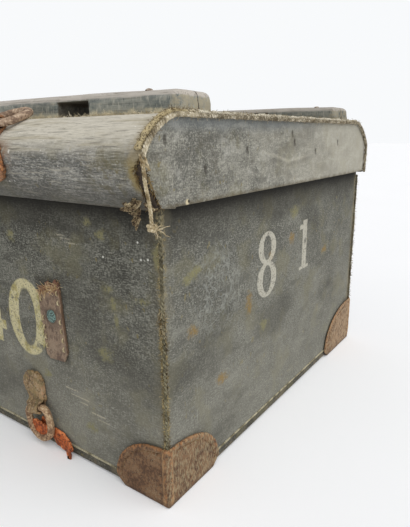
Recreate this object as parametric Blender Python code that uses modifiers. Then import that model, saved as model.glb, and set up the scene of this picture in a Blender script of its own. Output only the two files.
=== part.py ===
"""Military trunk: canvas over boards, a deep lid with rolled edges, leather caps and lashing rings.

Metres. X runs along the trunk, the front faces -Y, Z is up and the trunk stands on Z = 0.
"""
import math

import bmesh
import bpy
from mathutils import Matrix, Vector

# Overall sizes
BODY_LENGTH = 0.800
BODY_DEPTH = 0.472
LID_EDGE_Z = 0.276
LID_OVERLAP = 0.038
LID_HEIGHT = 0.0735

# The lid's front stands out further than the hinges, so the finished trunk is moved back over the origin
CENTRE_SHIFT = 0.0108

# Sheet and board stock
BOARD = 0.010
CANVAS = 0.0015
LEATHER = 0.0025
GAP = 0.0003
RIM_HEM = 0.025
TRAY_HEM = 0.0058

# Lid section, measured outwards from the body canvas
LID_CLEARANCE = 0.003
LID_END_CLEARANCE = 0.0012
LID_END_BOARD = 0.004
LID_EDGE_OUT = 0.0085
LID_COVE = 0.022
LID_COVE_SEAT = 0.002
SKIRT_POWER = 1.4

# Rolled edges of the lid: how far the bulge stands out, its rise, where the roll ends inside, its roundness
FRONT_ROLL = (0.028, 0.042, 0.012, 1.45)
BACK_ROLL = (0.0095, 0.040, 0.036, 1.30)

# Battens on the lid, with a notch under each for a closing strap
BATTEN_IN = 0.034
BATTEN_WIDTH = 0.052
BATTEN_HEIGHT = 0.0212
BATTEN_END_IN = 0.013
BATTEN_ROUND = 0.005
NOTCH_FROM_END = 0.133
NOTCH_WIDTH = 0.044
NOTCH_HEIGHT = 0.0145

# Cords sewn along the edges
WELT_RADIUS = 0.0012
WELT_SET = 0.0004
SEAM_RADIUS = 0.0016
SEAM_DROP = 0.004
PIPING_RADIUS = 0.0022
PIPING_INSET = 0.001
PIPING_TORN_Z = 0.041

# Broken length of piping: its fall at each step, and how far it sways out in X and Y, by hand
LOOSE_CORD_RADIUS = 0.0016
LOOSE_CORD_STEP = 0.0032
LOOSE_CORD_SWAY = [(0.0, 0.0), (0.0, 0.0), (0.0001, -0.0001), (0.0003, -0.0001)]
LOOSE_CORD_SWAY += [(0.0006, -0.0002), (0.0010, -0.0001), (0.0014, 0.0001), (0.0017, 0.0004)]
LOOSE_CORD_SWAY += [(0.0021, 0.0009), (0.0025, 0.0013), (0.0029, 0.0015), (0.0034, 0.0017)]
LOOSE_CORD_SWAY += [(0.0037, 0.0018), (0.0039, 0.0018), (0.0041, 0.0018), (0.0042, 0.0017)]

# Leather corner caps
CAP_ALONG = 0.064
CAP_FRONT_DEPTH = 0.080
CAP_FRONT_HEIGHT = 0.061
CAP_BACK_DEPTH = 0.100
CAP_BACK_HEIGHT = 0.070
CAP_POWER = 2.4
CAP_ROUND = 0.002

# Torn strap tab and its rivet
TAB_FROM_END = 0.141
TAB_LOW_Z = 0.110
TAB_WIDTH = 0.034
TAB_LENGTH = 0.078
TAB_LEAN = math.radians(4)
TAB_CLIP_IN = 0.0068
TAB_CLIP_UP = 0.011
TAB_NICK_IN = 0.0043
TAB_NICK_UP = 0.0055
RIVET_RISE = 0.048
RIVET_HEAD_RADIUS = 0.0053
RIVET_HEAD_HEIGHT = 0.0024
RIVET_SHANK_RADIUS = 0.002

# Torn edge of the tab, outer side first: share of the half width, depth below the full length
TAB_TEAR = [(1.0, 0.0025), (0.6, 0.0), (0.3, 0.004), (-0.1, 0.001)]
TAB_TEAR += [(-0.45, 0.007), (-0.85, 0.005), (-1.0, 0.011)]

# Lashing rings in folded leather chapes
WIRE_RADIUS = 0.004
RING_RADIUS = 0.018
RING_DROP = 0.018
RING_BAR = 0.019
LOOP_WIDTH = 0.017
LOOP_PLAY = 0.0006
CHAPE_WIDTH = 0.034
CHAPE_TIP_WIDTH = 0.008
CHAPE_WRAP_FROM = math.radians(120)
CHAPE_JOIN_BENDS = 2.1
CHAPE_EASE_BENDS = 0.55
CHAPE_CROWDING = 1.5
BODY_RING_FROM_END = 0.180
BODY_RING_Z = 0.045
BODY_RING_LEAN = math.radians(14)
BODY_CHAPE_RISE = 0.042
LID_RING_FROM_END = 0.186
LID_RING_ROLL_OUT = 0.010
LID_CHAPE_RISE = 0.056

# Strap remnant caught in the right body ring
REMNANT_THICK = 0.0018
REMNANT_WIDTH = 0.013
REMNANT_LENGTH = 0.057
REMNANT_SLOPE = math.radians(35)
REMNANT_INSIDE = 0.0054
REMNANT_TAPER = 0.25

# Hinges on the back
HINGE_X = 0.230
HINGE_WIDTH = 0.050
HINGE_PLATE = 0.002
HINGE_EYE_RADIUS = 0.0045
HINGE_DROP = 0.006
HINGE_PIN_RADIUS = 0.0023
HINGE_KNUCKLE = 0.020
HINGE_BODY_LEAF = 0.045
HINGE_LID_LEAF = 0.036
HINGE_EYE_LEAVES = 50

# Facets
SKIRT_STEPS = 5
ROLL_STEPS = 12
LOBE_STEPS = 10
WELT_CORNER_STEPS = 3
SHOULDER_STEPS = 5
RING_STEPS = 18
BODY_CHAPE_STEPS = 9
LID_CHAPE_STEPS = 20
EASE_STEPS = 5
WRAP_STEPS = 12
REMNANT_STEPS = 14
DOME_STEPS = 4
TURN_STEPS = 16
EYE_STEPS = 14
HOLE_SIDES = 12
ROUND_SEGMENTS = 3

# Places that follow from the sizes above
FRONT = BODY_DEPTH / 2
END = BODY_LENGTH / 2
WALL_X = END - CANVAS - GAP
WALL_Y = FRONT - CANVAS - GAP
RIM_Z = LID_EDGE_Z + LID_OVERLAP
BASE_CANVAS_Z = LEATHER + GAP
BASE_BOARD_Z = BASE_CANVAS_Z + CANVAS + GAP
WALL_LOW_Z = BASE_BOARD_Z + BOARD + GAP
TRAY_TOP_Z = BASE_BOARD_Z + TRAY_HEM
WELT_Z = TRAY_TOP_Z + GAP + WELT_RADIUS
SKIN_LOW_Z = WELT_Z + WELT_RADIUS + GAP
WELT_CORNER = WELT_RADIUS + WELT_SET
WELT_PROUD = WELT_CORNER + WELT_RADIUS - CANVAS - GAP
CAP_IN = WELT_PROUD + GAP
CAP_OUT = CAP_IN + LEATHER

LID_TOP_Z = LID_EDGE_Z + LID_HEIGHT
LID_WOOD_LOW_Z = LID_EDGE_Z + CANVAS + GAP
LID_WOOD_TOP_Z = LID_TOP_Z - CANVAS - GAP
LID_BOARD_LOW_Z = LID_WOOD_TOP_Z - BOARD
LID_END_IN = END + LID_END_CLEARANCE
LID_END_SKIN = LID_END_IN + LID_END_BOARD + GAP
LID_END = LID_END_SKIN + CANVAS
BATTEN_FACE = FRONT - BATTEN_IN
PIPING_X = LID_END + PIPING_RADIUS + GAP

LOOP_RADIUS = WIRE_RADIUS + LOOP_PLAY
CHAPE_BEND = LOOP_RADIUS + LEATHER / 2
RING_OFF = GAP + LEATHER + LOOP_RADIUS
RING_REACH = RING_DROP + RING_RADIUS

HINGE_AXIS_OUT = GAP + HINGE_EYE_RADIUS
HINGE_AXIS_Z = LID_EDGE_Z - HINGE_DROP
HINGE_BORE_RADIUS = HINGE_PIN_RADIUS + GAP

# Colour, roughness and metallic of each finish
FINISHES = {
    "board": ((0.36, 0.29, 0.20), 0.75, 0.0),
    "canvas": ((0.15, 0.15, 0.13), 0.90, 0.0),
    "lid_canvas": ((0.24, 0.23, 0.20), 0.90, 0.0),
    "batten": ((0.26, 0.25, 0.22), 0.80, 0.0),
    "cord": ((0.33, 0.27, 0.17), 0.95, 0.0),
    "cap_leather": ((0.23, 0.12, 0.07), 0.70, 0.0),
    "strap_leather": ((0.22, 0.13, 0.10), 0.75, 0.0),
    "remnant": ((0.50, 0.17, 0.06), 0.80, 0.0),
    "iron": ((0.20, 0.11, 0.07), 0.80, 0.6),
    "copper": ((0.22, 0.33, 0.29), 0.65, 0.5),
}


def clear_scene():
    for old in list(bpy.data.objects):
        bpy.data.objects.remove(old, do_unlink=True)


def new_collection(name):
    collection = bpy.data.collections.new(name)
    bpy.context.scene.collection.children.link(collection)
    return collection


def empty_at(name, location):
    """A frame that carries one moving or fixed group."""
    empty = bpy.data.objects.new(name, None)
    empty.location = location
    PARTS.objects.link(empty)
    return empty


def give_finish(obj, finish):
    colour, roughness, metallic = FINISHES[finish]
    material = bpy.data.materials.new(obj.name + "_" + finish)
    material.use_nodes = True
    shader = material.node_tree.nodes["Principled BSDF"]
    shader.inputs["Base Color"].default_value = (*colour, 1.0)
    shader.inputs["Roughness"].default_value = roughness
    shader.inputs["Metallic"].default_value = metallic
    obj.data.materials.append(material)


def add_part(name, data, finish, carrier, location=(0, 0, 0), rotation=(0, 0, 0)):
    """Put a shape into the part collection, at its place, carried by a frame."""
    obj = bpy.data.objects.new(name, data)
    obj.location = location
    obj.rotation_euler = rotation
    obj.parent = carrier
    obj.matrix_parent_inverse = Matrix.Translation(carrier.location).inverted()
    PARTS.objects.link(obj)
    give_finish(obj, finish)
    return obj


def add_cutter(name, data, location=(0, 0, 0), rotation=(0, 0, 0)):
    obj = bpy.data.objects.new(name, data)
    obj.location = location
    obj.rotation_euler = rotation
    obj.hide_render = True
    obj.display_type = "WIRE"
    CUTTERS.objects.link(obj)
    return obj


def boolean(obj, cutter, operation):
    modifier = obj.modifiers.new(operation.lower(), "BOOLEAN")
    modifier.operation = operation
    modifier.solver = "EXACT"
    modifier.object = cutter


def box_mesh(name, size):
    mesh = bpy.data.meshes.new(name)
    bm = bmesh.new()
    bmesh.ops.create_cube(bm, size=1.0, matrix=Matrix.Diagonal((*size, 1.0)))
    bm.to_mesh(mesh)
    bm.free()
    return mesh


def round_edges(bm, edges, radius):
    bmesh.ops.bevel(bm, geom=edges, offset=radius, segments=ROUND_SEGMENTS, profile=0.5, affect="EDGES")


def box(name, low, high, finish, carrier):
    low, high = Vector(low), Vector(high)
    return add_part(name, box_mesh(name, high - low), finish, carrier, (low + high) / 2)


def box_cutter(name, low, high):
    low, high = Vector(low), Vector(high)
    return add_cutter(name, box_mesh(name, high - low), (low + high) / 2)


# An outline drawn in the YZ plane runs along X; one in the XZ plane runs along -Y
ALONG_X = (math.pi / 2, 0, math.pi / 2)
ALONG_Y = (math.pi / 2, 0, 0)
ALONG_Z = (0, 0, 0)


def wound(outline, clockwise):
    """The outline's points in the stated direction, so that the plate's walls face out."""
    area = sum(a[0] * b[1] - b[0] * a[1] for a, b in zip(outline, outline[1:] + outline[:1]))
    return outline if (area < 0) == clockwise else outline[::-1]


def outline_curve(name, outlines, thickness):
    """A flat outline, with any holes after it, as a filled plate."""
    curve = bpy.data.curves.new(name, "CURVE")
    curve.dimensions = "2D"
    curve.fill_mode = "BOTH"
    curve.extrude = thickness / 2
    for i, outline in enumerate(outlines):
        spline = curve.splines.new("POLY")
        spline.points.add(len(outline) - 1)
        for point, (u, v) in zip(spline.points, wound(outline, clockwise=i == 0)):
            point.co = (u, v, 0, 1)
        spline.use_cyclic_u = True
    return curve


def outline_mesh(name, outlines, thickness):
    """The same plate as a closed mesh, for cutting or being cut."""
    guide = bpy.data.objects.new(name + "_outline", outline_curve(name, outlines, thickness))
    CUTTERS.objects.link(guide)
    evaluated = guide.evaluated_get(bpy.context.evaluated_depsgraph_get())
    mesh = bpy.data.meshes.new_from_object(evaluated)
    bpy.data.objects.remove(guide, do_unlink=True)
    bm = bmesh.new()
    bm.from_mesh(mesh)
    bmesh.ops.remove_doubles(bm, verts=bm.verts, dist=1e-6)
    bm.to_mesh(mesh)
    bm.free()
    return mesh


def arc(centre, radius, start, stop, steps):
    return [
        (
            centre[0] + radius * math.cos(math.radians(start + (stop - start) * i / steps)),
            centre[1] + radius * math.sin(math.radians(start + (stop - start) * i / steps)),
        )
        for i in range(steps + 1)
    ]


def hole(centre, radius):
    return arc(centre, radius, 0, 360 - 360 / HOLE_SIDES, HOLE_SIDES - 1)


def cord(name, points, radius, finish, carrier, closed=False, location=(0, 0, 0), rotation=(0, 0, 0)):
    curve = bpy.data.curves.new(name, "CURVE")
    curve.dimensions = "3D"
    curve.bevel_depth = radius
    curve.bevel_resolution = 2
    curve.use_fill_caps = not closed
    spline = curve.splines.new("POLY")
    spline.points.add(len(points) - 1)
    for point, place in zip(spline.points, points):
        point.co = (*place, 1)
    spline.use_cyclic_u = closed
    spline.use_smooth = True
    return add_part(name, curve, finish, carrier, location, rotation)


def strip(name, stations, thickness, finish, carrier, location=(0, 0, 0), rotation=(0, 0, 0)):
    """A sheet through a row of stations, each a centre and a half-width, given its thickness."""
    mesh = bpy.data.meshes.new(name)
    bm = bmesh.new()
    last = len(stations) - 1
    bmesh.ops.create_grid(bm, x_segments=last, y_segments=1, size=1.0)
    for vertex in bm.verts:
        centre, half_width = stations[round((vertex.co.x + 1) / 2 * last)]
        vertex.co = Vector(centre) + math.copysign(1, vertex.co.y) * Vector(half_width)
    for face in bm.faces:
        face.smooth = True
    bm.to_mesh(mesh)
    bm.free()
    obj = add_part(name, mesh, finish, carrier, location, rotation)
    thicken(obj, thickness)
    return obj


def thicken(obj, thickness):
    solidify = obj.modifiers.new("thickness", "SOLIDIFY")
    solidify.thickness = thickness
    solidify.offset = 0
    solidify.use_even_offset = True
    return solidify


def skin(name, rings, closed_base, finish, carrier):
    """A rectangular skin drawn through rings of half length, half depth and height."""
    mesh = bpy.data.meshes.new(name)
    bm = bmesh.new()
    bmesh.ops.create_grid(bm, x_segments=1, y_segments=1, size=1.0)
    loop = list(bm.verts)
    half_x, half_y, z = rings[0]
    for vertex in loop:
        vertex.co = (vertex.co.x * half_x, vertex.co.y * half_y, z)
    edges = list(bm.edges)
    if not closed_base:
        bmesh.ops.delete(bm, geom=list(bm.faces), context="FACES_ONLY")
    for half_x, half_y, z in rings[1:]:
        grown = bmesh.ops.extrude_edge_only(bm, edges=edges)["geom"]
        edges = [item for item in grown if isinstance(item, bmesh.types.BMEdge)]
        for vertex in [item for item in grown if isinstance(item, bmesh.types.BMVert)]:
            vertex.co = (math.copysign(half_x, vertex.co.x), math.copysign(half_y, vertex.co.y), z)
    bmesh.ops.recalc_face_normals(bm, faces=bm.faces)
    bm.to_mesh(mesh)
    bm.free()
    obj = add_part(name, mesh, finish, carrier)
    solidify = thicken(obj, CANVAS)
    solidify.solidify_mode = "NON_MANIFOLD"
    solidify.nonmanifold_thickness_mode = "CONSTRAINTS"


# One edge of the lid's outer section, as points of outward distance and height
def lid_section(roll):
    bulge_out, bulge_rise, roll_in, power = roll
    points = []
    for i in range(SKIRT_STEPS):
        below = 1 - i / SKIRT_STEPS
        out = bulge_out - (bulge_out - LID_EDGE_OUT) * below**SKIRT_POWER
        points.append((out, LID_EDGE_Z + bulge_rise * (1 - below)))
    for i in range(ROLL_STEPS + 1):
        turn = math.pi / 2 * i / ROLL_STEPS
        out = (bulge_out + roll_in) * max(0.0, math.cos(turn)) ** (2 / power) - roll_in
        rise = (LID_HEIGHT - bulge_rise) * math.sin(turn) ** (2 / power)
        points.append((out, LID_EDGE_Z + bulge_rise + rise))
    return points


def section_normal(points, i):
    before, after = points[max(i - 1, 0)], points[min(i + 1, len(points) - 1)]
    along = Vector((after[0] - before[0], after[1] - before[1])).normalized()
    return Vector((along.y, -along.x))


def offset_section(roll, distance):
    """The section set outwards, with its last point still straight above the roll's inner end."""
    points = lid_section(roll)
    moved = [tuple(Vector(p) + distance * section_normal(points, i)) for i, p in enumerate(points)]
    moved[-1] = (points[-1][0], points[-1][1] + distance)
    return moved


def section_above(points, z):
    """The section from height z upwards."""
    for i, (low, high) in enumerate(zip(points, points[1:])):
        if high[1] > z:
            share = (z - low[1]) / (high[1] - low[1])
            return [(low[0] + share * (high[0] - low[0]), z)] + points[i + 1:]
    return points


def both_sides(front, back):
    """The section from the front edge over the top to the back edge, as Y and Z."""
    return [(-FRONT - out, z) for out, z in front] + [(FRONT + out, z) for out, z in reversed(back)]


def make_body(trunk):
    low, high = (-WALL_X, -WALL_Y, BASE_BOARD_Z), (WALL_X, WALL_Y, BASE_BOARD_Z + BOARD)
    box("bottom_board", low, high, "board", trunk)
    wall_top = RIM_Z - CANVAS - GAP
    end_y = WALL_Y - BOARD - GAP
    for name, side in (("front_board", -1), ("back_board", 1)):
        faces = sorted((side * WALL_Y, side * (WALL_Y - BOARD)))
        box(name, (-WALL_X, faces[0], WALL_LOW_Z), (WALL_X, faces[1], wall_top), "board", trunk)
    for name, side in (("left_end_board", -1), ("right_end_board", 1)):
        faces = sorted((side * WALL_X, side * (WALL_X - BOARD)))
        box(name, (faces[0], -end_y, WALL_LOW_Z), (faces[1], end_y, wall_top), "board", trunk)

    outer = CANVAS / 2
    inner = CANVAS + GAP + BOARD + GAP + CANVAS / 2
    turn_z = RIM_Z - CANVAS / 2
    rings = [
        (END - outer, FRONT - outer, SKIN_LOW_Z),
        (END - outer, FRONT - outer, turn_z),
        (END - inner, FRONT - inner, turn_z),
        (END - inner, FRONT - inner, turn_z - RIM_HEM),
    ]
    skin("body_canvas", rings, False, "canvas", trunk)
    base_z = BASE_CANVAS_Z + CANVAS / 2
    tray = [(END - outer, FRONT - outer, base_z), (END - outer, FRONT - outer, TRAY_TOP_Z)]
    skin("bottom_canvas", tray, True, "canvas", trunk)


def make_edge_cords(trunk):
    welt = []
    for side_x, side_y, start in ((1, 1, 0), (-1, 1, 90), (-1, -1, 180), (1, -1, 270)):
        corner = arc((side_x * WALL_X, side_y * WALL_Y), WELT_CORNER, start, start + 90, WELT_CORNER_STEPS)
        welt += [(x, y, WELT_Z) for x, y in corner]
    cord("bottom_welt", welt, WELT_RADIUS, "cord", trunk, closed=True)

    set_off = (SEAM_RADIUS + GAP) / math.sqrt(2)
    for depth_name, side_y, cap_height in (("front", -1, CAP_FRONT_HEIGHT), ("back", 1, CAP_BACK_HEIGHT)):
        for side_name, side_x in (("left", -1), ("right", 1)):
            x, y = side_x * (END + set_off), side_y * (FRONT + set_off)
            ends = [(x, y, cap_height + GAP), (x, y, LID_EDGE_Z - SEAM_DROP)]
            cord(f"corner_seam_{depth_name}_{side_name}", ends, SEAM_RADIUS, "cord", trunk)


def lobe(along, up):
    """A quarter lobe: square at the corner, rounded away from it."""
    points = [(0.0, 0.0)]
    for i in range(LOBE_STEPS + 1):
        turn = math.pi / 2 * i / LOBE_STEPS
        u = along * max(0.0, math.cos(turn)) ** (2 / CAP_POWER)
        v = up * math.sin(turn) ** (2 / CAP_POWER)
        points.append((u, v))
    return points


def cap_mesh(name, depth, height):
    """One corner cap with its outer corner at the origin, reaching along +X, +Y and +Z."""
    along, depth = CAP_ALONG + CAP_OUT, depth + CAP_OUT
    size = Vector((along, depth, height))
    mesh = bpy.data.meshes.new(name)
    bm = bmesh.new()
    bmesh.ops.create_cube(bm, size=1.0, matrix=Matrix.Translation(size / 2) @ Matrix.Diagonal((*size, 1.0)))
    corner_edges = [e for e in bm.edges if any(v.co.length < GAP for v in e.verts)]
    round_edges(bm, corner_edges, CAP_ROUND)
    bm.to_mesh(mesh)
    bm.free()
    block = bpy.data.objects.new(name, mesh)
    CUTTERS.objects.link(block)

    # The three lobes lie in the planes of the front, the end and the base
    span = 2 * max(size)
    front = outline_mesh(name + "_front", [lobe(along, height)], span)
    end = outline_mesh(name + "_end", [lobe(depth, height)], span)
    base = outline_mesh(name + "_base", [lobe(along, depth)], span)
    hollow_low = Vector((LEATHER, LEATHER, LEATHER))
    cutters = [
        (add_cutter(name + "_front_lobe", front, rotation=ALONG_Y), "INTERSECT"),
        (add_cutter(name + "_end_lobe", end, rotation=ALONG_X), "INTERSECT"),
        (add_cutter(name + "_base_lobe", base, rotation=ALONG_Z), "INTERSECT"),
        (box_cutter(name + "_hollow", hollow_low, hollow_low + size), "DIFFERENCE"),
    ]
    for cutter, operation in cutters:
        boolean(block, cutter, operation)
    bpy.context.view_layer.update()
    finished = bpy.data.meshes.new_from_object(block.evaluated_get(bpy.context.evaluated_depsgraph_get()))
    bpy.data.objects.remove(block, do_unlink=True)
    for cutter, operation in cutters:
        bpy.data.objects.remove(cutter, do_unlink=True)
    return finished


def mirrored(mesh, name, flip_x, flip_y):
    """A copy of a mesh turned over in X or Y, still facing out."""
    copy = mesh.copy()
    copy.name = name
    bm = bmesh.new()
    bm.from_mesh(copy)
    bm.transform(Matrix.Diagonal((-1 if flip_x else 1, -1 if flip_y else 1, 1, 1)))
    if flip_x != flip_y:
        bmesh.ops.reverse_faces(bm, faces=bm.faces)
    bm.to_mesh(copy)
    bm.free()
    return copy


def make_caps(trunk):
    sizes = {"front": (CAP_FRONT_DEPTH, CAP_FRONT_HEIGHT), "back": (CAP_BACK_DEPTH, CAP_BACK_HEIGHT)}
    for depth_name, side_y in (("front", -1), ("back", 1)):
        mesh = cap_mesh("cap_" + depth_name, *sizes[depth_name])
        for side_name, side_x in (("left", -1), ("right", 1)):
            name = f"corner_cap_{depth_name}_{side_name}"
            place = (side_x * (END + CAP_OUT), side_y * (FRONT + CAP_OUT), 0)
            add_part(name, mirrored(mesh, name, side_x > 0, side_y > 0), "cap_leather", trunk, place)


def tab_outline():
    """A strap end cut across below, with its corners clipped, and torn off unevenly above."""
    half = TAB_WIDTH / 2
    cut = [(-half, TAB_NICK_UP), (TAB_NICK_IN - half, 0.0), (half - TAB_CLIP_IN, 0.0), (half, TAB_CLIP_UP)]
    return cut + [(share * half, TAB_LENGTH - depth) for share, depth in TAB_TEAR]


def make_tabs(trunk):
    for side_name, side in (("left", -1), ("right", 1)):
        outline = [(side * u, v) for u, v in tab_outline()]
        bore = hole((0, RIVET_RISE), RIVET_SHANK_RADIUS + GAP)
        lean = (math.pi / 2, -side * TAB_LEAN, 0)
        x = side * (END - TAB_FROM_END)
        curve = outline_curve("tab", [outline, bore], LEATHER)
        place = (x, -FRONT - GAP - LEATHER / 2, TAB_LOW_Z)
        add_part(f"strap_tab_{side_name}", curve, "strap_leather", trunk, place, lean)
        rivet_x = x - side * math.sin(TAB_LEAN) * RIVET_RISE
        rivet_z = TAB_LOW_Z + math.cos(TAB_LEAN) * RIVET_RISE
        make_rivet(f"tab_rivet_{side_name}", (rivet_x, -FRONT, rivet_z), trunk)


def make_rivet(name, place, trunk):
    """A domed head on a shank, turned about its own Z, standing out of the front."""
    under = GAP + LEATHER + GAP
    profile = [(0.0, under + RIVET_HEAD_HEIGHT)]
    for i in range(1, DOME_STEPS + 1):
        turn = math.pi / 2 * i / DOME_STEPS
        profile.append((RIVET_HEAD_RADIUS * math.sin(turn), under + RIVET_HEAD_HEIGHT * math.cos(turn)))
    profile += [(RIVET_SHANK_RADIUS, under), (RIVET_SHANK_RADIUS, GAP), (0.0, GAP)]
    mesh = bpy.data.meshes.new(name)
    bm = bmesh.new()
    rim = [bm.verts.new((x, 0, z)) for x, z in profile]
    for a, b in zip(rim, rim[1:]):
        bm.edges.new((a, b))
    bm.to_mesh(mesh)
    bm.free()
    obj = add_part(name, mesh, "copper", trunk, place, ALONG_Y)
    screw = obj.modifiers.new("turn", "SCREW")
    screw.steps = screw.render_steps = TURN_STEPS
    screw.use_merge_vertices = True
    screw.merge_threshold = 1e-6
    screw.use_smooth_shade = True


def chape_path(rise, steps):
    """A folded strip in the plane across the ring's axis, from its rounded end down the front, round
    the wire and up underneath: distance up from the axis, distance off the canvas and half width."""
    front_off = GAP + LEATHER + GAP + LEATHER / 2
    join_up = CHAPE_JOIN_BENDS * CHAPE_BEND
    path = []
    for i in range(steps):
        path.append((rise - (rise - join_up) * (i / steps) ** CHAPE_CROWDING, front_off))

    # A smooth ease carries the front layer from the flat on to the wire
    sine, cosine = CHAPE_BEND * math.sin(CHAPE_WRAP_FROM), CHAPE_BEND * math.cos(CHAPE_WRAP_FROM)
    start = Vector((join_up, front_off))
    finish = Vector((sine, RING_OFF - cosine))
    leave = start - CHAPE_EASE_BENDS * Vector((CHAPE_BEND, 0))
    arrive = finish - CHAPE_EASE_BENDS * Vector((cosine, sine))
    for i in range(EASE_STEPS):
        t = i / EASE_STEPS
        s = 1 - t
        path.append(tuple(start * s**3 + leave * 3 * t * s**2 + arrive * 3 * t**2 * s + finish * t**3))
    for i in range(WRAP_STEPS + 1):
        turn = CHAPE_WRAP_FROM + (2 * math.pi - CHAPE_WRAP_FROM) * i / WRAP_STEPS
        path.append((CHAPE_BEND * math.sin(turn), RING_OFF - CHAPE_BEND * math.cos(turn)))
    for i in range(1, steps + 1):
        path.append(((rise - LEATHER) * (1 - (1 - i / steps) ** CHAPE_CROWDING), GAP + LEATHER / 2))
    return [(up, off, chape_half_width(up, rise)) for up, off in path]


def chape_half_width(up, rise):
    half = CHAPE_WIDTH / 2
    low, high = 2 * LOOP_RADIUS, 2 * LOOP_RADIUS + half
    share = min(1.0, max(0.0, (up - low) / (high - low)))
    waist = LOOP_WIDTH / 2 + (half - LOOP_WIDTH / 2) * share * share * (3 - 2 * share)
    to_end = min(half, max(0.0, rise - up))
    rounded = math.sqrt(half**2 - (half - to_end) ** 2)
    return min(waist, max(rounded, CHAPE_TIP_WIDTH / 2))


def ring(name, carrier, location, rotation):
    """A wire ring with a straight bar, hanging from the object's origin in the middle of the bar."""
    shoulder = RING_RADIUS - RING_BAR / 2
    path = arc((RING_BAR / 2, -shoulder), shoulder, 90, 0, SHOULDER_STEPS)
    path += arc((0, -RING_DROP), RING_RADIUS, 0, -180, RING_STEPS)
    path += arc((-RING_BAR / 2, -shoulder), shoulder, 180, 90, SHOULDER_STEPS)
    points = [(x, 0, z) for x, z in path]
    return cord(name, points, WIRE_RADIUS, "iron", carrier, True, location, rotation)


def make_body_rings(trunk):
    for side_name, side in (("left", -1), ("right", 1)):
        place = (side * (END - BODY_RING_FROM_END), -FRONT - RING_OFF, BODY_RING_Z)
        lean = (0, -side * BODY_RING_LEAN, 0)
        path = chape_path(BODY_CHAPE_RISE, BODY_CHAPE_STEPS)
        stations = [((0, RING_OFF - off, up), (half, 0, 0)) for up, off, half in path]
        strip(f"ring_chape_{side_name}", stations, LEATHER, "strap_leather", trunk, place, lean)
        swing = empty_at(f"body_ring_axis_{side_name}", place)
        ring(f"body_ring_{side_name}", swing, place, lean)
        if side > 0:
            make_remnant(swing, place, lean)


def make_remnant(swing, place, lean):
    """A torn strip behind the ring's right side, curling out beyond it and hanging short of the floor."""
    behind = WIRE_RADIUS + GAP + REMNANT_THICK / 2
    edge_x = RING_RADIUS + WIRE_RADIUS + 2 * REMNANT_THICK
    start = Vector((-REMNANT_INSIDE, 0, -RING_DROP))
    run = REMNANT_LENGTH * Vector((math.cos(REMNANT_SLOPE), 0, -math.sin(REMNANT_SLOPE)))
    across = Vector((math.sin(REMNANT_SLOPE), 0, math.cos(REMNANT_SLOPE)))
    stations = []
    for i in range(REMNANT_STEPS + 1):
        centre = start + run * i / REMNANT_STEPS
        beyond = max(0.0, (centre.x - edge_x) / (start.x + run.x - edge_x))
        centre.y = behind * (1 - beyond * beyond)
        half = REMNANT_WIDTH / 2 * (1 - REMNANT_TAPER * i / REMNANT_STEPS)
        stations.append((centre, across * half))
    strip("strap_remnant", stations, REMNANT_THICK, "remnant", swing, place, lean)


def make_lid(lid):
    rolls = (FRONT_ROLL, BACK_ROLL)
    woods = [section_above(offset_section(roll, -CANVAS - GAP), LID_WOOD_LOW_Z) for roll in rolls]
    length = 2 * (LID_END_IN - GAP)
    front_seat, back_seat = (FRONT - roll[2] - GAP for roll in rolls)
    low, high = (-length / 2, -front_seat, LID_BOARD_LOW_Z), (length / 2, back_seat, LID_WOOD_TOP_Z)
    box("lid_top_board", low, high, "board", lid)
    for name, side, roll, wood in (
        ("lid_front_rail", -1, FRONT_ROLL, woods[0]),
        ("lid_back_rail", 1, BACK_ROLL, woods[1]),
    ):
        roll_in = roll[2]
        deepest = min(LID_BOARD_LOW_Z - RIM_Z, roll_in + 2 * LID_CLEARANCE - LID_COVE_SEAT) - LID_CLEARANCE
        cove = min(LID_COVE, deepest)
        inner = [(-roll_in, LID_BOARD_LOW_Z), (LID_CLEARANCE - cove, LID_BOARD_LOW_Z)]
        inner += [(LID_CLEARANCE, LID_BOARD_LOW_Z - cove), (LID_CLEARANCE, LID_WOOD_LOW_Z)]
        outline = [(side * (FRONT + out), z) for out, z in wood + inner]
        add_part(name, outline_curve(name, [outline], length), "board", lid, rotation=ALONG_X)
    lip = [(LID_CLEARANCE + GAP, LID_EDGE_Z + CANVAS / 2)]
    skirts = [
        lip + section_above(offset_section(roll, -CANVAS / 2), LID_EDGE_Z + CANVAS / 2)
        for roll in rolls
    ]
    stations = [((0, y, z), (LID_END, 0, 0)) for y, z in both_sides(*skirts)]
    strip("lid_canvas", stations, CANVAS, "lid_canvas", lid)
    for side_name, side in (("left", -1), ("right", 1)):
        board = outline_curve("lid_end_board", [both_sides(*woods)], LID_END_BOARD)
        place = (side * (LID_END_IN + LID_END_BOARD / 2), 0, 0)
        add_part(f"lid_end_board_{side_name}", board, "board", lid, place, ALONG_X)
        panel = outline_curve("lid_end_canvas", [both_sides(*woods)], CANVAS)
        place = (side * (LID_END_SKIN + CANVAS / 2), 0, 0)
        add_part(f"lid_end_canvas_{side_name}", panel, "lid_canvas", lid, place, ALONG_X)


def make_piping(lid):
    front, back = (offset_section(roll, -PIPING_INSET) for roll in (FRONT_ROLL, BACK_ROLL))
    torn = section_above(front, LID_EDGE_Z + PIPING_TORN_Z)
    for side_name, side, whole in (("left", -1, front), ("right", 1, torn)):
        path = [(side * PIPING_X, y, z) for y, z in both_sides(whole, back)]
        cord(f"lid_piping_{side_name}", path, PIPING_RADIUS, "cord", lid)

    # The torn length hangs from the broken end of the right piping
    out, z = torn[0]
    x, y, z = PIPING_X, -FRONT - out, z - 2 * GAP
    route = [(x + dx, y + dy, z - i * LOOSE_CORD_STEP) for i, (dx, dy) in enumerate(LOOSE_CORD_SWAY)]
    cord("loose_cord", route, LOOSE_CORD_RADIUS, "cord", lid)


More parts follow.
